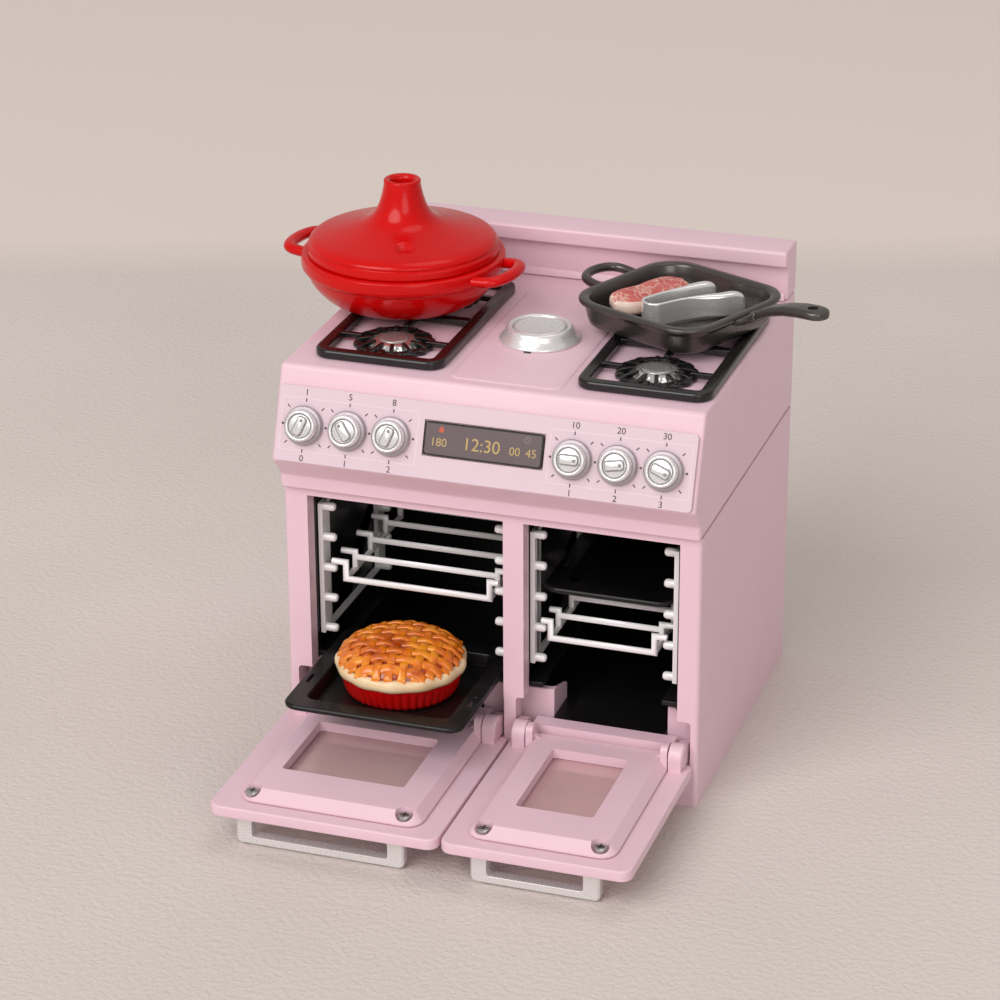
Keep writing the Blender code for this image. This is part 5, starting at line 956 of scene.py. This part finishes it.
def vent(a, r, z):
    """Sinks a shallow round dimple, with a low lip, into the front of the lid."""
    if z < 128.2 or r < 9:
        return (r, z)
    x = r * math.cos(a) - VENT_OUT * math.cos(VENT_TURN)
    y = r * math.sin(a) - VENT_OUT * math.sin(VENT_TURN)
    away = math.hypot(x, y)
    dent = VENT_DEEP * max(0.0, 1 - (away / VENT_RADIUS) ** 2) ** 0.6
    lip = VENT_LIP * math.exp(-((away - VENT_LIP_RADIUS) / VENT_LIP_WIDE) ** 2)
    return (r, z - dent + lip)


def make_lid():
    profile = LID_INSIDE + LID_EDGE + spline(LID_SHOULDER + LID_NECK, 9) + LID_MOUTH
    lid = turned(profile, 240, centre_of("pot_lid"), vent)
    piece("pot_lid_turned", lid, ENAMEL, "lid", ("pot_lid",), sharp=42, slot="red_enamel")


# Pan, steak and tongs, drawn about the pan's own centre, with its handle along X.

PAN_AT = Matrix.Translation((34.2, 51.2, 0)) @ Matrix.Rotation(math.radians(-24), 4, "Z")
PAN = TO_WORLD @ PAN_AT
PAN_HALF = 20.9
# Each ring of the pan's wall: how far it is drawn in, its height and its corner's radius.
PAN_OUTSIDE = [(4.6, 110.0, 7), (3.6, 110.15, 7.8), (2.7, 110.9, 8.2), (1.9, 112.8, 8.8), (1.4, 115.2, 9.2),
               (1.1, 116.1, 9.2)]
PAN_RIM = [(0.2, 116.5, 9.2), (0.0, 116.95, 9.2), (0.0, 117.4, 9.2), (0.2, 117.75, 9.2), (0.6, 117.85, 9.2),
           (1.7, 117.85, 9.2), (2.15, 117.65, 9.2), (2.4, 117.1, 9.2)]
PAN_INSIDE = [(2.75, 115.0, 9.2), (3.3, 112.6, 8.8), (4.0, 111.6, 8), (5.4, 111.25, 7)]
# Each section of the handle: its place, half width, underside and thickness.
HANDLE_ROOT = [(18.8, 3.6, 115.2, 1.6), (20.9, 3.4, 115.4, 1.8), (22.3, 2.7, 115.7, 2.1),
               (24.0, 2.35, 116.5, 2.5)]
HANDLE_RISE = [(27.0, 2.4, 118.3, 2.6), (30.5, 2.5, 119.9, 2.6), (34.5, 2.8, 121.1, 2.6),
               (38.5, 3.2, 121.9, 2.5)]
HANDLE_TIP = [(42.0, 3.4, 122.3, 2.35), (44.0, 3.2, 122.4, 2.25), (45.4, 2.5, 122.5, 2.1),
              (46.1, 1.4, 122.6, 1.9)]
HANDLE_COLLAR = [(24.2, 2.7, 116.3, 3.0), (24.5, 3.0, 116.25, 3.4), (25.8, 3.0, 117.0, 3.4),
                 (26.1, 2.7, 117.3, 3.0)]
HANDLE_HOLE = 42.1
HANDLE_HOLE_RADIUS = 1.35


def bar_sections(stations, roundness, steps):
    """Rounded sections along X, from each station's place, half width, underside and thickness."""
    sections = []
    for x, half, z, thick in stations:
        sections.append(upright(x, rounded(-half, half, z, z + thick, thick * roundness, steps)))
    return loft(sections)


def make_pan():
    rings = []
    for inset, z, radius in PAN_OUTSIDE + PAN_RIM + PAN_INSIDE:
        e = PAN_HALF - inset
        rings.append(level(rounded(-e, e, -e, e, radius - inset * 0.5, 8), z))
    piece("grill_pan_cast", loft(rings), GUNMETAL, "pan", ("grill_pan",), sharp=50, matrix=PAN,
          slot="iron_look")
    shaft = bar_sections(HANDLE_ROOT + HANDLE_RISE + HANDLE_TIP, 0.42, 4)
    handle = piece("pan_handle", shaft, GUNMETAL, "pan", sharp=50, matrix=PAN)
    hole = turned([(0, 118), (HANDLE_HOLE_RADIUS, 118), (HANDLE_HOLE_RADIUS, 130), (0, 130)], 32)
    hole.transform(PAN_AT @ Matrix.Translation((HANDLE_HOLE, 0, 0)))
    cut_out(handle, hole)
    shade(handle, 0, 0, 40)
    piece("pan_collar", bar_sections(HANDLE_COLLAR, 0.45, 5), GUNMETAL, "pan", sharp=40, matrix=PAN)
    helper = loop(*HELPER_HANDLE, math.pi, (0, 0), rise=0.9)
    piece("pan_helper_loop", helper, GUNMETAL, "pan", sharp=60, matrix=PAN)


STEAK_AT = (-10.2, 1.5)
STEAK_HALF = (5.8, 13.3)
STEAK_LEAN = 0.12
STEAK_TILT = 0.22
# Each ring of the steak, from below: how far it is drawn in, its height and its unevenness.
STEAK_RINGS = ((1.0, 111.55, 0), (0.3, 111.75, 0), (0.0, 112.4, 0), (0.0, 113.7, 0.05), (0.3, 114.4, 0.1),
               (0.8, 114.8, 0.14), (1.5, 115.0, 0.16), (2.8, 115.0, 0.2), (4.0, 115.15, 0.08))


def steak_ring(inset, z, wobble):
    """One uneven rounded outline of the steak, leaning and tilted against the pan's wall."""
    points = []
    for k in range(96):
        a = 2 * math.pi * k / 96
        broad = 0.10 * (0.5 * math.sin(3 * a + 1) - 0.5 * math.cos(2 * a) - 1)
        wave = 1 + broad + 0.012 * math.sin(11 * a) + 0.02 * math.sin(5 * a + 2)
        square = (math.cos(a) ** 4 + math.sin(a) ** 4) ** 0.15
        along = (STEAK_HALF[1] * wave / square - inset) * math.sin(a)
        out = (STEAK_HALF[0] * wave / square - inset) * math.cos(a) + STEAK_LEAN * along
        up = z + STEAK_TILT * (STEAK_HALF[0] - out) + wobble * math.sin(5 * a)
        points.append(Vector((STEAK_AT[0] + out, STEAK_AT[1] + along, up)))
    return points


def rind(face):
    """The pale rind runs round the side and just over its upper edge."""
    return 1 if face.normal.z < 0.80 else 0


def make_steak():
    steak = loft([steak_ring(*one) for one in STEAK_RINGS])
    piece("steak_meat", steak, [MEAT, RIND], "steak_body", ("steak",), sharp=60, matrix=PAN, slot="meat",
          pick=rind)


# Tongs on edge: one strap round the bow, with arms that swell into spoon ends.
BOW_AT = (-2.8, -6.5)
BOW_RADIUS = 2.95
LEFT_ARM = [(0.2, 14.2), (-0.8, 12.2), (-2.3, 9.0), (-3.5, 4.5), (-5.1, -1.5)]
RIGHT_ARM = [(1.7, -1.5), (4.2, 3.6), (7.3, 8.0), (8.9, 11.0), (10.6, 13.2)]
TONGS_FLOOR = 111.55
TONGS_TALL = 6.0
STRAP_HALF = 0.42
SPOON_SHARE = 0.42
SPOON_SWELL = 1.05
TIP_SHARE = 0.16


def tongs_section(x, y, aside, end):
    """The strap's section at a point; end is 0 at a tip and 1 at the bow."""
    spoon = max(0.0, 1 - end / SPOON_SHARE)
    tip = math.sqrt(max(0.0, 1 - max(0.0, 1 - end / TIP_SHARE) ** 2))
    swell = SPOON_SWELL * math.sin(math.pi / 2 * min(spoon * 1.7, 1))
    thick = (STRAP_HALF + swell) * (0.35 + 0.65 * tip)
    tall = (TONGS_TALL + 0.3 * spoon) * (0.55 + 0.45 * tip)
    base = TONGS_FLOOR + 0.5 * (1 - tip)
    outline = rounded(-thick, thick, base, base + tall, min(thick * 0.9, 0.9), 4)
    return [Vector((x + aside.x * a, y + aside.y * a, b)) for a, b in outline]


def make_tongs():
    bow = corner_arc(BOW_AT, BOW_RADIUS, math.radians(180), math.radians(355), 7)
    path = spline(LEFT_ARM + bow + RIGHT_ARM, 5)
    last = len(path) - 1
    rings = []
    for k, (x, y) in enumerate(path):
        way = (Vector(path[min(k + 1, last)]) - Vector(path[max(k - 1, 0)])).normalized()
        end = min(k, last - k) / (len(path) / 2)
        rings.append(tongs_section(x, y, Vector((-way.y, way.x)), end))
    piece("tongs_strap", loft(rings), TONG_STEEL, "tongs_body", ("tongs",), sharp=50, matrix=PAN,
          slot="silver_plastic")


# Pie: a fluted dish, a crimped crust, a lumpy filling and a woven lattice.

FLUTES = 44
DISH = [(0, 25.5), (13.4, 25.5), (13.8, 25.62), (14.2, 26.4), (15.0, 29.2), (15.45, 30.5), (15.6, 30.9),
        (15.3, 31.0), (14.4, 31.0), (13.2, 26.6), (0, 26.6)]
CRUST = [(0, 28.2), (12.8, 28.2), (13.9, 31.1), (15.6, 31.25), (16.35, 31.6), (16.75, 32.5), (16.75, 33.4),
         (16.5, 34.1), (16.0, 34.5), (15.4, 34.55), (14.8, 34.4), (14.3, 34.1), (0, 34.0)]
CRIMPS = 13
DOME_FOOT, DOME_RISE, DOME_REACH = 34.5, 4.5, 16.2
FILLING_REACH = 15.2
FILLING_BELOW = 0.5
LATTICE_REACH = 16.0
LATTICE_TURN = math.radians(8)
PITCH = 3.3
STRIP_HALF = 1.08
STRIP_CROWN = 0.45
WEAVE = 0.272


def flute(a, r, z):
    """Lobes round the dish's outer wall."""
    outside = r > 13.75 + (z - 25.6) / 5.3 * 1.7
    lobe = abs(math.cos(FLUTES / 2 * a)) ** 0.8 - 0.5
    return (r + (0.55 * lobe if outside else 0), z)


def crimp(a, r, z):
    """Slow waves along the crust's edge."""
    lift = 0.20 * math.sin(CRIMPS * a) * max(0, min(1, (z - 31.8) / 1.6))
    out = 0.18 * math.sin(CRIMPS * a + 0.6) * max(0, min(1, (r - 12.5) / 2))
    return (r + out, z + lift)


def lumpy(a, r, z):
    return (r, z + (0.22 * math.sin(7 * a + r) * math.sin(2.1 * r) if z > 33.5 else 0))


def dome(x, y):
    """The height of the pie's domed top at a point off its centre."""
    return DOME_FOOT + DOME_RISE * max(0.0, 1 - (math.hypot(x, y) / DOME_REACH) ** 4)


def strip_section(along, across, index, family):
    """One section of a lattice strip, which rises and dips as it passes the other family."""
    lift = WEAVE * math.cos(math.pi * (along / PITCH + index + family))
    half = STRIP_HALF * (1 + 0.05 * math.sin(3.1 * along + index))
    section = []
    for j in range(9):
        share = -1 + j / 4
        crown = STRIP_CROWN * math.sqrt(1 - share ** 2)
        section.append((across + share * half, lift + crown - 0.05))
    section += [(across + half * 0.9, lift - 0.6), (across - half * 0.9, lift - 0.6)]
    places = [(along, b, up) if family == 0 else (b, along, up) for b, up in section]
    return [Vector((x, y, dome(x, y) + up)) for x, y, up in places]


def make_lattice():
    strips = []
    for family in (0, 1):
        for index in range(-4, 5):
            across = index * PITCH
            reach = math.sqrt(LATTICE_REACH ** 2 - across ** 2)
            rows = [strip_section(-reach + 2 * reach * k / 44, across, index, family) for k in range(45)]
            strips.append(loft(rows))
    return joined(*strips)


def make_pie():
    centre = centre_of("pie")
    dish = turned(DISH, FLUTES * 8, centre, flute)
    piece("pie_dish_fluted", dish, DISH_RED, "pie_body", ("pie_dish",), sharp=60, slot="red_enamel")
    crust = turned(CRUST, CRIMPS * 12, centre, crimp)
    piece("pie_crust", crust, CREAM, "pie_body", ("pie",), sharp=60, slot="crust")
    profile = [(0, 33.2), (FILLING_REACH, 33.2)]
    for step in range(12, -1, -1):
        radius = FILLING_REACH * step / 12
        profile.append((radius, dome(radius, 0) - FILLING_BELOW))
    piece("pie_filling", turned(profile, 96, centre, lumpy), FILLING, "pie_body", sharp=80)
    spin = Matrix.Translation((*centre, 0)) @ Matrix.Rotation(LATTICE_TURN, 4, "Z")
    piece("pie_lattice", make_lattice(), LATTICE, "pie_body", sharp=70, matrix=TO_WORLD @ spin)


# Floor, lamps and camera, in metres.

FLOOR_HALF = 4.0
LAMP_AIM = (0, 0, 0.05)


def make_floor():
    bm = bmesh.new()
    bmesh.ops.create_grid(bm, x_segments=1, y_segments=1, size=FLOOR_HALF)
    floor = linked("floor", mesh_of("floor", bm))
    floor.data.materials.append(floor_material())


def lamp(name, place, size, power, colour):
    """A round lamp aimed at the cooker."""
    light = bpy.data.lights.new(name, "AREA")
    light.shape = "DISK"
    light.size = size
    light.energy = power
    light.color = colour
    obj = linked(name, light)
    obj.location = place
    obj.rotation_euler = (Vector(LAMP_AIM) - Vector(place)).to_track_quat("-Z", "Y").to_euler()


def make_lamps():
    lamp("key", (-0.95, -2.50, 2.30), 2.6, 73, (1.0, 0.98, 0.98))
    lamp("fill", (1.50, -2.40, 1.10), 1.6, 16, (1.0, 0.98, 0.97))
    lamp("top", (0.5, 0.6, 3.0), 1.6, 9, (1.0, 0.98, 0.96))
    world = bpy.data.worlds.new("studio")
    bpy.context.scene.world = world
    world.use_nodes = True
    background = world.node_tree.nodes["Background"]
    background.inputs["Color"].default_value = (0.92, 0.88, 0.85, 1)
    background.inputs["Strength"].default_value = 0.50


def make_camera():
    level_out = math.cos(CAMERA_ELEVATION)
    back = Vector((math.sin(CAMERA_AZIMUTH) * level_out, -math.cos(CAMERA_AZIMUTH) * level_out,
                   math.sin(CAMERA_ELEVATION)))
    right = Vector((math.cos(CAMERA_AZIMUTH), math.sin(CAMERA_AZIMUTH), 0))
    up = back.cross(right)
    turn, hold = math.sin(CAMERA_ROLL), math.cos(CAMERA_ROLL)
    right, up = right * hold + up * turn, up * hold - right * turn
    data = bpy.data.cameras.new("camera")
    data.sensor_width = CAMERA_SENSOR
    data.lens = CAMERA_LENS
    camera = linked("camera", data)
    turned_to = Matrix((right, up, back)).transposed().to_4x4()
    camera.matrix_world = Matrix.Translation(CAMERA_PLACE) @ turned_to
    bpy.context.scene.camera = camera


make_cabinet()
make_housing()
make_hob_field()
make_backsplash()
make_plate()
make_display()
make_knobs()
make_ovens()
make_doors()
make_hotplate()
for side in SIDES:
    make_grate(side)
    for end in ("front", "rear"):
        make_burner(side, end)
make_pot()
make_lid()
make_pan()
make_steak()
make_tongs()
make_pie()
make_floor()
make_lamps()
make_camera()
bpy.context.scene.view_settings.view_transform = "Standard"
